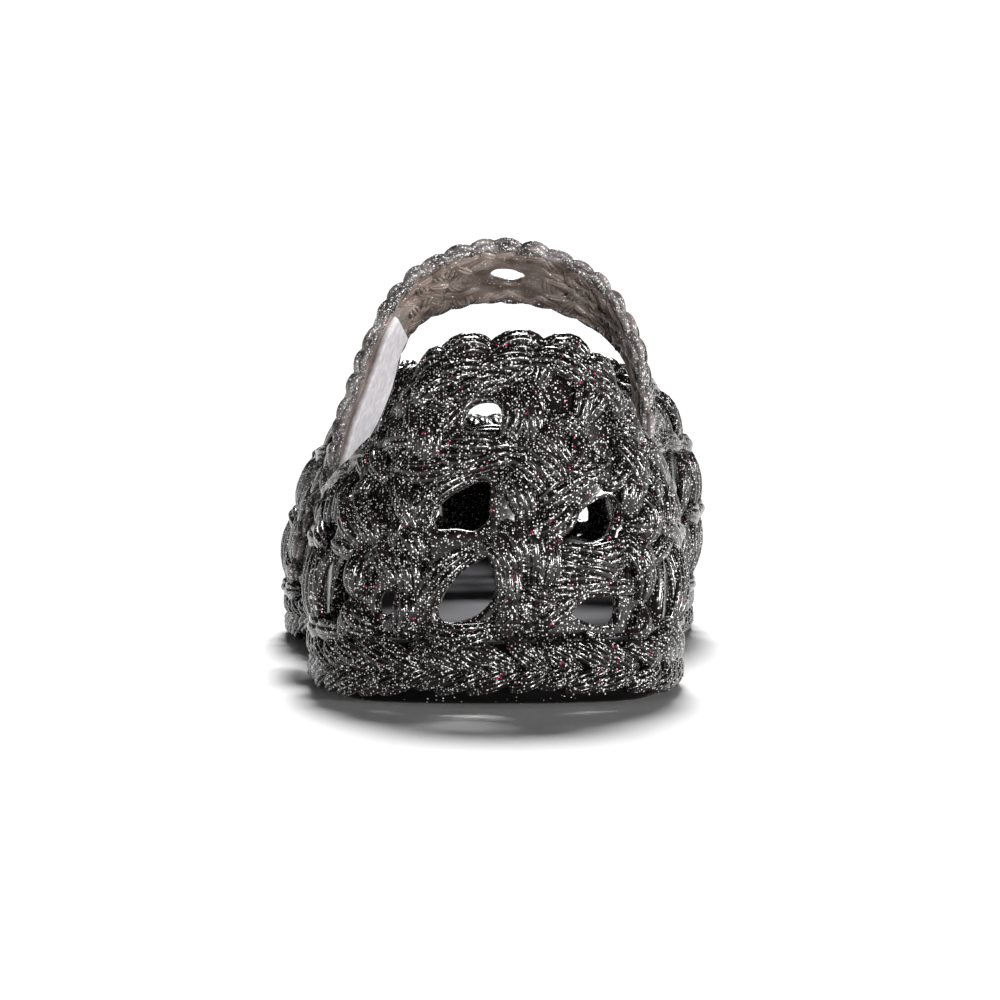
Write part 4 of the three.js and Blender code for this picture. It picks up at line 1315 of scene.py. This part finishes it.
@dataclass
class StrapPiece:
    """The instep strap: a thin band with a slit at its crown, between two scalloped edges.

    finish is its outside's, edge the lighter copy on its thin edges, whose lighter body is a painted
    highlight, and lining the sparsely flecked one inside.
    slit and hole have their corners in mm along from the crown and across from the rear edge, and
    tape_start is the share of the run at which the lining ends.
    """

    finish: bpy.types.Material
    edge: bpy.types.Material
    lining: bpy.types.Material
    slit: tuple = ((-2.4, 7.6), (1.4, 7.0), (2.3, 9.6), (0.9, 12.2), (-2.0, 12.4), (-3.0, 9.8))
    hole: tuple = ((-10.2, 10.6), (-8.6, 10.4), (-8.2, 12.6), (-9.8, 12.9))
    lace: Yarn = Yarn(width=1.5 * MM, depth=0.5 * MM, ply_radius=0.36 * MM, plies=3, sides=5, rings=7)
    cord: Yarn = Yarn(1.5 * MM, 1.1 * MM, 0.62 * MM, Bundle.CORD, plies=3, turns=0.25, taper=0.4)
    leaf: Yarn = Yarn(width=2.2 * MM, depth=1.0 * MM, ply_radius=0.5 * MM)
    lace_pitch: float = 2.6 * MM
    scallop_pitch: float = 3.7 * MM
    leaf_pitch: float = 4.4 * MM
    tape_start: float = 0.61

    def __post_init__(self) -> None:
        """Start the random draws."""
        self.random = random.Random(31)

    def build_band(self) -> bpy.types.Object:
        """Build the strap's thin band with its slit and its small hole."""
        crown = STRAP.crown * STRAP.length
        grid = grid_mesh(96, 18)
        for vertex in grid.verts:
            vertex.co.x *= STRAP.length
            vertex.co.y *= LAST.strap_run
        shapes = [np.array([(crown + a * MM, b * MM) for a, b in corners])
                  for corners in (self.slit, self.hole)]
        cut_gaps(grid, [Gap.of(shape) for shape in shapes])
        close_shell(grid, STRAP, (STRAP.length, LAST.strap_run), (0.5 * MM, -0.8 * MM))
        return shell_piece("strap_band", grid, self.finish, self.lining)

    def build_lining(self) -> bpy.types.Object:
        """Build the lace relief on the inside, from the medial quarter to the tape."""
        face = StrapLining()
        lace = Strands("strap_lining", self.lace, 35)
        run = LAST.strap_run
        count = round(self.tape_start * STRAP.length / self.lace_pitch)
        for index in range(count):
            for level in range(6):
                u = (index + self.random.uniform(0.1, 0.9)) / count * self.tape_start
                v = 0.1 + 0.16 * level + self.random.uniform(-0.04, 0.04)
                if abs(u - STRAP.crown) * STRAP.length < 6.2 * MM and 0.25 < v < 0.8:
                    continue
                angle = self.random.uniform(-1.1, 1.1) + (math.pi / 2 if level % 2 else 0)
                half = self.random.uniform(1.8, 2.9) * MM
                a, b = half * math.cos(angle) / STRAP.length, half * math.sin(angle) / run
                ends = [(max(u - a, 0.02), v - b), (u, v), (u + a, v + b)]
                lace.lay(face, [(x, min(max(y, 0.04), 0.96)) for x, y in ends], 1.0, -0.25 * MM, 0.4 * MM)
        return lace.build(self.lining)

    def build_edges(self) -> bpy.types.Object:
        """Build the scalloped edges and the rounded end."""
        strands = Strands("strap_edges", self.cord, 33)
        count = round(STRAP.length / self.scallop_pitch)
        for index in range(count + 1):
            middle = (index + self.random.uniform(-0.12, 0.12)) / count
            reach = 0.66 / count
            for edge, sign in ((0.0, -1), (1.0, 1)):
                bulge = 0.05 * sign * self.random.uniform(0.7, 1.1)
                stops = [(middle - reach, edge - 0.03 * sign), (middle, edge + bulge * 0.6),
                         (middle + reach, edge - 0.03 * sign)]
                strands.lay(STRAP, stops, 1.0, -0.5 * MM, 0.5 * MM)
        across = round(LAST.strap_run / self.scallop_pitch)
        for index in range(across + 1):
            middle = index / across
            stops = [(0.992, middle - 0.6 / across), (0.999, middle), (0.992, middle + 0.6 / across)]
            strands.lay(STRAP, stops, 1.0, -0.45 * MM, 0.6 * MM)
        # The edges take the lighter copy, whose pale body and dense flecks are a painted highlight.
        return strands.build(self.edge)

    def build_leaves(self) -> bpy.types.Object:
        """Build the slanted leaves on the outside, clear of the slit."""
        leaves = Strands("strap_leaves", self.leaf, 34)
        rows = round(STRAP.length / self.leaf_pitch)
        for index in range(rows):
            for start, end, shift in ((0.06, 0.4, 0.0), (0.62, 0.36, 0.5), (0.6, 0.95, 0.0)):
                u = (index + shift + self.random.uniform(-0.12, 0.12)) / rows
                near = abs(u - STRAP.crown) * STRAP.length < 4.4 * MM
                if near and min(start, end) < 0.66 < max(start, end) + 0.05:
                    continue
                lean = 0.75 / rows
                stops = [(max(u - lean, 0), start), (u, (start + end) / 2), (min(u + lean, 0.995), end)]
                leaves.lay(STRAP, stops, self.random.uniform(0.9, 1.15), 0.1 * MM, 0.5 * MM)
        return leaves.build(self.finish)


@dataclass
class Slab:
    """A slab inside the outline: a cover below, rings up its side and a cover on top.

    count is its corners round the outline, across the faces across each cover.
    """

    name: str
    count: int
    across: int

    def _cover(self, mesh: bmesh.types.BMesh, ring: Array, height: Callable[[float, float], float]) -> None:
        """Add one cover between the two sides of a ring.

        Args:
            mesh: The slab in the making.
            ring: The places round the cover's edge.
            height: Its height by place along the shoe and share across.
        """
        grid = bmesh.ops.create_grid(mesh, x_segments=self.across, y_segments=self.count // 2, size=0.5)
        for vertex in grid["verts"]:
            share = vertex.co.x + 0.5
            index = int(round((vertex.co.y + 0.5) * (self.count // 2)))
            start, end = ring[index], ring[-index % self.count]
            place = start * (1 - share) + end * share
            if 0.001 < share < 0.999:
                place[2] = height(place[1] - OUTLINE.shift[1], share)
            vertex.co = place

    def build(self, rings: list[Array], low: Callable[[float, float], float],
              high: Callable[[float, float], float], material: bpy.types.Material) -> bpy.types.Object:
        """Build the slab.

        Args:
            rings: The rings of places from the underside's edge to the top's edge.
            low: Height of the underside by place along the shoe and share across.
            high: Height of the top by place along the shoe and share across.
            material: The finish.

        Returns:
            The finished piece.
        """
        slab = bmesh.new()
        self._cover(slab, rings[0], low)
        bmesh.ops.remove_doubles(slab, verts=slab.verts, dist=0.001 * MM)
        edge = [item for item in slab.edges if item.is_boundary]
        for under, ring in zip(rings, rings[1:]):
            made = bmesh.ops.extrude_edge_only(slab, edges=edge)["geom"]
            for vertex in (item for item in made if isinstance(item, bmesh.types.BMVert)):
                nearest = int(np.argmin(np.sum((under - np.array(vertex.co)) ** 2, axis=1)))
                vertex.co = ring[nearest]
            edge = [item for item in made if isinstance(item, bmesh.types.BMEdge)]
        self._cover(slab, rings[-1], high)
        bmesh.ops.remove_doubles(slab, verts=slab.verts, dist=0.001 * MM)
        bmesh.ops.recalc_face_normals(slab, faces=slab.faces)
        mesh = bpy.data.meshes.new(self.name)
        slab.to_mesh(mesh)
        slab.free()
        mesh.shade_smooth()
        mesh.materials.append(material)
        return show(self.name, mesh)


@dataclass
class Sole:
    """The outsole: body, tread and the ropes moulded round its side.

    finish is the side's glitter PVC, and the second finish the near-black one of body and tread, whose
    darkness is painted shade for the shadowed underside. ledge is how far in from the outline the recess
    for the footbed starts, and flats are where heel and ball rest on the floor, as shares of the length.
    """

    finish: bpy.types.Material
    painted_shade_underside: bpy.types.Material
    rope: Yarn = Yarn(width=2.2 * MM, depth=1.3 * MM, ply_radius=0.56 * MM, rings=8)
    rope_pitch: float = 4.4 * MM
    ledge: float = LAST.strip_rise + LAST.wall + MM
    bar_pitch: float = 7.3 * MM
    flats: tuple = ((0.06, 0.28), (0.61, 0.72))
    corners: int = 264

    def build_body(self) -> bpy.types.Object:
        """Build the body with its tread bars between the flat pads of heel and forefoot."""
        rounds = np.arange(self.corners) / self.corners

        def ring(inset: float, rise: float) -> Array:
            """Return places round the side by inset and share of the rise to the rim."""
            place = OUTLINE.at(rounds, inset)
            low, high = under_at(place[:, 1]), rim_at(place[:, 1])
            place[:, 2] = low + (high - low) * rise
            return place + OUTLINE.shift

        def recess(inset: float, drop: float) -> Array:
            """Return places round the recess by inset and depth below the rim."""
            place = OUTLINE.at(rounds, inset)
            place[:, 2] = rim_at(place[:, 1]) - drop
            return place + OUTLINE.shift

        rings = [
            ring(3.2 * MM, 0.0), ring(2.6 * MM, 0.02), ring(1.5 * MM, 0.14), ring(1.2 * MM, 0.4),
            ring(1.2 * MM, 0.8), ring(1.7 * MM, 0.98), ring(2.0 * MM, 1.0), ring(self.ledge, 1.0),
            recess(self.ledge + LAST.clearance, LAST.insole_recess),
        ]

        def tread(y: float, share: float) -> float:
            """Return the height of the underside, with grooves between its bars."""
            bars = 0.5 + 0.5 * math.cos(2 * math.pi * y / self.bar_pitch)
            flat = any(low * LAST.length < y < high * LAST.length for low, high in self.flats)
            depth = 0.25 * LAST.tread_depth if flat else LAST.tread_depth
            return float(under_at(np.array(y))) + depth * float(ease(bars, 0.35, 0.65))

        def bed(y: float, share: float) -> float:
            """Return the height of the recess that holds the footbed."""
            return float(rim_at(np.array(y))) - LAST.insole_recess

        # Body and tread take the near-black finish, whose darkness is painted shade for the shadowed
        # underside.
        return Slab("sole_body", self.corners, 16).build(rings, tread, bed, self.painted_shade_underside)

    def build_ropes(self) -> bpy.types.Object:
        """Build the two rows of chain loops round the sole's side."""
        ropes = Strands("sole_ropes", self.rope, 41)
        draw = random.Random(43)
        count = round(OUTLINE.girth / self.rope_pitch)
        for index in range(count):
            middle = (index + draw.uniform(-0.2, 0.2)) / count
            step = draw.uniform(0.75, 1.1) / count
            off_heel = min(middle, 1 - middle) * OUTLINE.girth / (20 * MM)
            low = draw.uniform(0.15, 0.27) + 0.09 * max(0.0, 1 - off_heel ** 2)
            ropes.lay(SOLE_SIDE, [(middle - 0.8 * step, low), (middle, low + 0.13),
                                  (middle + 0.9 * step, 0.6)],
                      draw.uniform(0.85, 1.1), -0.7 * MM, 1.0 * MM)
            high = draw.uniform(0.92, 1.15)
            ropes.lay(SOLE_SIDE, [(middle - 0.9 * step, high), (middle, 0.78 + 0.1 * (high - 1)),
                                  (middle + 0.8 * step, draw.uniform(0.46, 0.62))],
                      draw.uniform(0.85, 1.1), -0.6 * MM, 1.0 * MM)
        return ropes.build(self.finish)


@dataclass
class Insole:
    """The smooth footbed laid in the sole's recess.

    start is how far in from the outline its edge lies, and cup how deep its top is hollowed.
    """

    finish: bpy.types.Material
    corners: int = 160
    start: float = LAST.strip_rise + LAST.wall + MM + 2 * LAST.clearance
    cup: float = 0.45 * MM

    def build(self) -> bpy.types.Object:
        """Build the footbed with a rolled edge and a shallow cup."""
        rounds = np.arange(self.corners) / self.corners

        def bottom(y: Array) -> Array:
            """Return the height of the underside by place along the shoe."""
            return rim_at(y) - LAST.insole_recess + LAST.clearance

        def ring(inset: float, rise: float) -> Array:
            """Return places round the side by further inset and rise off the underside."""
            place = OUTLINE.at(rounds, self.start + inset)
            place[:, 2] = bottom(place[:, 1]) + rise
            return place + OUTLINE.shift

        thick = LAST.insole_thickness
        rings = [ring(0.0, 0.0), ring(0.0, 0.5 * thick), ring(0.2 * MM, 0.85 * thick), ring(0.9 * MM, thick)]

        def low(y: float, share: float) -> float:
            """Return the height of the underside."""
            return float(bottom(np.array(y)))

        def high(y: float, share: float) -> float:
            """Return the height of the hollowed top."""
            cup = self.cup * math.sin(math.pi * share) ** 0.5
            return float(bottom(np.array(y))) + thick - cup

        return Slab("footbed", self.corners, 20).build(rings, low, high, self.finish)


@dataclass
class Closure:
    """The pale tapes: hooks inside the strap's free end, loops on the lateral quarter.

    half_cells is how many half cells of the strap's pattern the hook tape runs along.
    """

    finish: bpy.types.Material
    half_cells: int = 7
    rounding: float = 0.35 * MM

    def _tape(self, name: str, face_place: Callable[[float, float], Array], along: int,
              across: int) -> bpy.types.Object:
        """Build a thin rounded tape on a face from its flat grid.

        Args:
            name: The piece's name.
            face_place: Places by share along and share across.
            along: Faces along it.
            across: Faces across it.

        Returns:
            The finished piece.
        """
        grid = grid_mesh(along, across)
        for vertex in grid.verts:
            vertex.co = face_place(vertex.co.x, vertex.co.y)
        bmesh.ops.recalc_face_normals(grid, faces=grid.faces)
        bmesh.ops.solidify(grid, geom=grid.faces, thickness=LAST.tape_thickness)
        edges = [edge for edge in grid.edges if len(edge.link_faces) == 2 and edge.calc_face_angle(0) > 1.0]
        bmesh.ops.bevel(grid, geom=edges, offset=self.rounding, offset_type="OFFSET",
                        segments=2, profile=0.5, affect="EDGES", material=-1)
        bmesh.ops.recalc_face_normals(grid, faces=grid.faces)
        mesh = bpy.data.meshes.new(name)
        grid.to_mesh(mesh)
        grid.free()
        mesh.shade_smooth()
        mesh.materials.append(self.finish)
        return show(name, mesh)

    def build_hook(self) -> bpy.types.Object:
        """Build the hook tape on the inner face of the strap's free end."""
        end = 1 - 0.5 / STRAP.cells
        start = end - self.half_cells / (2 * STRAP.cells)
        margin = (1 - LAST.tape_width / LAST.strap_run) / 2

        def place(along: float, across: float) -> Array:
            """Return places on the strap's inner face."""
            out = -LAST.strap_thickness / 2 - 2 * LAST.clearance
            return STRAP.place(np.array([start + (end - start) * along]),
                               np.array([margin + (1 - 2 * margin) * across]), np.array([out]))[0]

        return self._tape("hook_tape_nap", place, 48, 12)

    def build_loop(self) -> bpy.types.Object:
        """Build the loop patch on the outside of the lateral quarter."""
        middle = LAST.strap_back + LAST.strap_run / 2

        def place(along: float, across: float) -> Array:
            """Return places on the outside of the wall, from under the collar down."""
            round_ = OUTLINE.round_at(middle + (across - 0.5) * LAST.tape_width, False)
            top = float(WALL.climb_full(np.array(round_))) - 2.2 * LAST.rope_radius
            climb = top + (LAST.strap_end_lift - top) * along
            return WALL.place(np.array([round_]), np.array([climb]),
                              np.array([LAST.clearance + LAST.tape_thickness]))[0]

        return self._tape("loop_tape_nap", place, 24, 12)


class Lamp(Enum):
    """Kinds of light."""

    SUN = "SUN"
    AREA = "AREA"
    SPOT = "SPOT"


@dataclass(frozen=True)
class Studio:
    """Pale floor, soft lights and the camera at the photo's angle.

    The camera's pixels are those of a frame that is frame_width wide. surround holds, for two axes,
    the range of the direction's coordinate and the brightness at its start and end, and cone and
    cone_blend are a spot's angle and how softly it ends.
    """

    eye_height: float = 0.052
    eye_back: float = 0.450
    frame_width: int = 1000
    focal_pixels: float = 3360
    horizon_row: float = 321
    heel_column: float = 497
    floor_half: float = 6.0
    surround: tuple = (("Y", -0.8, -0.15, 0.08, 1.15), ("Z", 0.1, 0.17, 1.0, 0.025))
    cone: float = math.radians(9)
    cone_blend: float = 0.7

    def build_floor(self) -> None:
        """Build the pale floor."""
        floor = bmesh.new()
        bmesh.ops.create_grid(floor, x_segments=1, y_segments=1, size=self.floor_half)
        mesh = bpy.data.meshes.new("studio_floor")
        floor.to_mesh(mesh)
        floor.free()
        recipe = Recipe("matt_white_paper")
        recipe.shade(Base_Color=linear("#fbfbfb"), Roughness=0.9)
        mesh.materials.append(recipe.material)
        show("studio_floor", mesh)

    def build_lights(self) -> None:
        """Build the surround, bright beyond the toe and dim behind the camera, the key and the fill."""
        world = bpy.data.worlds.new("white_surround")
        world.use_nodes = True
        tree = world.node_tree
        heading = add_node(tree, "ShaderNodeTexCoord").outputs["Generated"]
        split = add_node(tree, "ShaderNodeSeparateXYZ", {"Vector": heading})
        shares = {}
        for index, (axis, low, high, start, end) in enumerate(self.surround):
            shares[index] = add_node(tree, "ShaderNodeMapRange", {
                "Value": split.outputs[axis], "From Min": low, "From Max": high,
                "To Min": start, "To Max": end,
            }).outputs["Result"]
        both = add_node(tree, "ShaderNodeMath", shares, operation="MULTIPLY")
        back = tree.nodes["Background"]
        back.inputs["Color"].default_value = (1, 1, 1, 1)
        tree.links.new(both.outputs[0], back.inputs["Strength"])
        bpy.context.scene.world = world
        self._light("key", Lamp.SUN, (0.02, 0.78, 0.85), (0.0, 0.0, 0.0), math.radians(18), 5.0)
        self._light("fill", Lamp.AREA, (0.2, -0.9, 0.03), (0.0, -0.06, 0.03), 0.06, 5.6)
        self._light("side", Lamp.SPOT, (0.66, -0.4, 0.085), (-0.01, -0.05, 0.05), 0.08, 52.0)

    def _light(self, name: str, kind: Lamp, place: tuple[float, float, float],
               aim: tuple[float, float, float], size: float, power: float) -> None:
        """Add one soft light that looks at a place.

        Args:
            name: The light's name.
            kind: Its kind.
            place: Where it stands.
            aim: Where it looks.
            size: A sun's angle, a square's side or a spot's radius.
            power: Its strength.
        """
        data = bpy.data.lights.new(name, kind.value)
        if kind is Lamp.SUN:
            data.angle = size
        elif kind is Lamp.AREA:
            data.size = size
        else:
            data.shadow_soft_size = size
            data.spot_size = self.cone
            data.spot_blend = self.cone_blend
        data.energy = power
        light = bpy.data.objects.new(name, data)
        light.location = place
        light.rotation_euler = (Vector(aim) - Vector(place)).to_track_quat("-Z", "Y").to_euler()
        bpy.context.scene.collection.objects.link(light)

    def build_camera(self) -> None:
        """Build the camera straight behind the heel, tilted to put the horizon where the photo has it."""
        low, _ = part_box("sole")
        data = bpy.data.cameras.new("camera")
        data.sensor_width = 36
        data.lens = self.focal_pixels / self.frame_width * data.sensor_width
        camera = bpy.data.objects.new("camera", data)
        heel = OUTLINE.shift[0]
        camera.location = (heel, low.y - self.eye_back, self.eye_height)
        tilt = math.atan((self.frame_width / 2 - self.horizon_row) / self.focal_pixels)
        turn = math.atan((self.frame_width / 2 - self.heel_column) / self.focal_pixels)
        camera.rotation_euler = (math.pi / 2 - tilt, 0, -turn)
        bpy.context.scene.collection.objects.link(camera)
        bpy.context.scene.camera = camera


def main() -> None:
    """Build the shoe piece by piece, the studio and the camera."""
    logging.basicConfig(level=logging.INFO, format="%(name)s %(message)s")
    studio = Studio()
    studio.build_camera()
    studio.build_floor()
    studio.build_lights()
    bpy.context.scene.view_settings.view_transform = "Standard"

    glitter = GlitterPvc("moulded_glitter_pvc").make()
    # The underside's near-black body and sparse flecks are painted shade for the shadowed sole underneath.
    painted_shade_underside = GlitterPvc("moulded_glitter_pvc_painted_shade_underside", body="#040303", haze="#0a0808", fine_share=0.05,
                       coarse_share=0.02, roughness=0.85, coat=0.0, gloss=0.1).make()
    # The thin edges' finish is a lighter copy: its pale body, haze and dense flecks are a painted highlight.
    edge = GlitterPvc("moulded_glitter_pvc_painted_highlight_edge", body="#433e3d", haze="#938c8a", fine_share=0.8).make()
    lining = GlitterPvc("moulded_smoky_pvc_lining", body="#665850", haze="#a89a91", fine_share=0.14,
                        coarse_share=0.06, roughness=0.42, relief=0.6).make()
    upper = Upper(glitter)
    finish_piece(upper.build_wall(), "upper")
    for piece in upper.build_stitches():
        finish_piece(piece, "upper")
    finish_piece(upper.build_collar(), "upper")
    strap = StrapPiece(glitter, edge, lining)
    finish_piece(strap.build_band(), "upper")
    finish_piece(strap.build_lining(), "upper")
    finish_piece(strap.build_edges(), "upper")
    finish_piece(strap.build_leaves(), "upper")
    sole = Sole(glitter, painted_shade_underside)
    finish_piece(sole.build_body(), "sole")
    finish_piece(sole.build_ropes(), "sole")
    finish_piece(Insole(FoamFootbed().make()).build(), "insole")
    closure = Closure(HookNap().make())
    finish_piece(closure.build_hook(), "hook_tape")
    finish_piece(closure.build_loop(), "loop_tape")


if __name__ == "__main__":
    main()
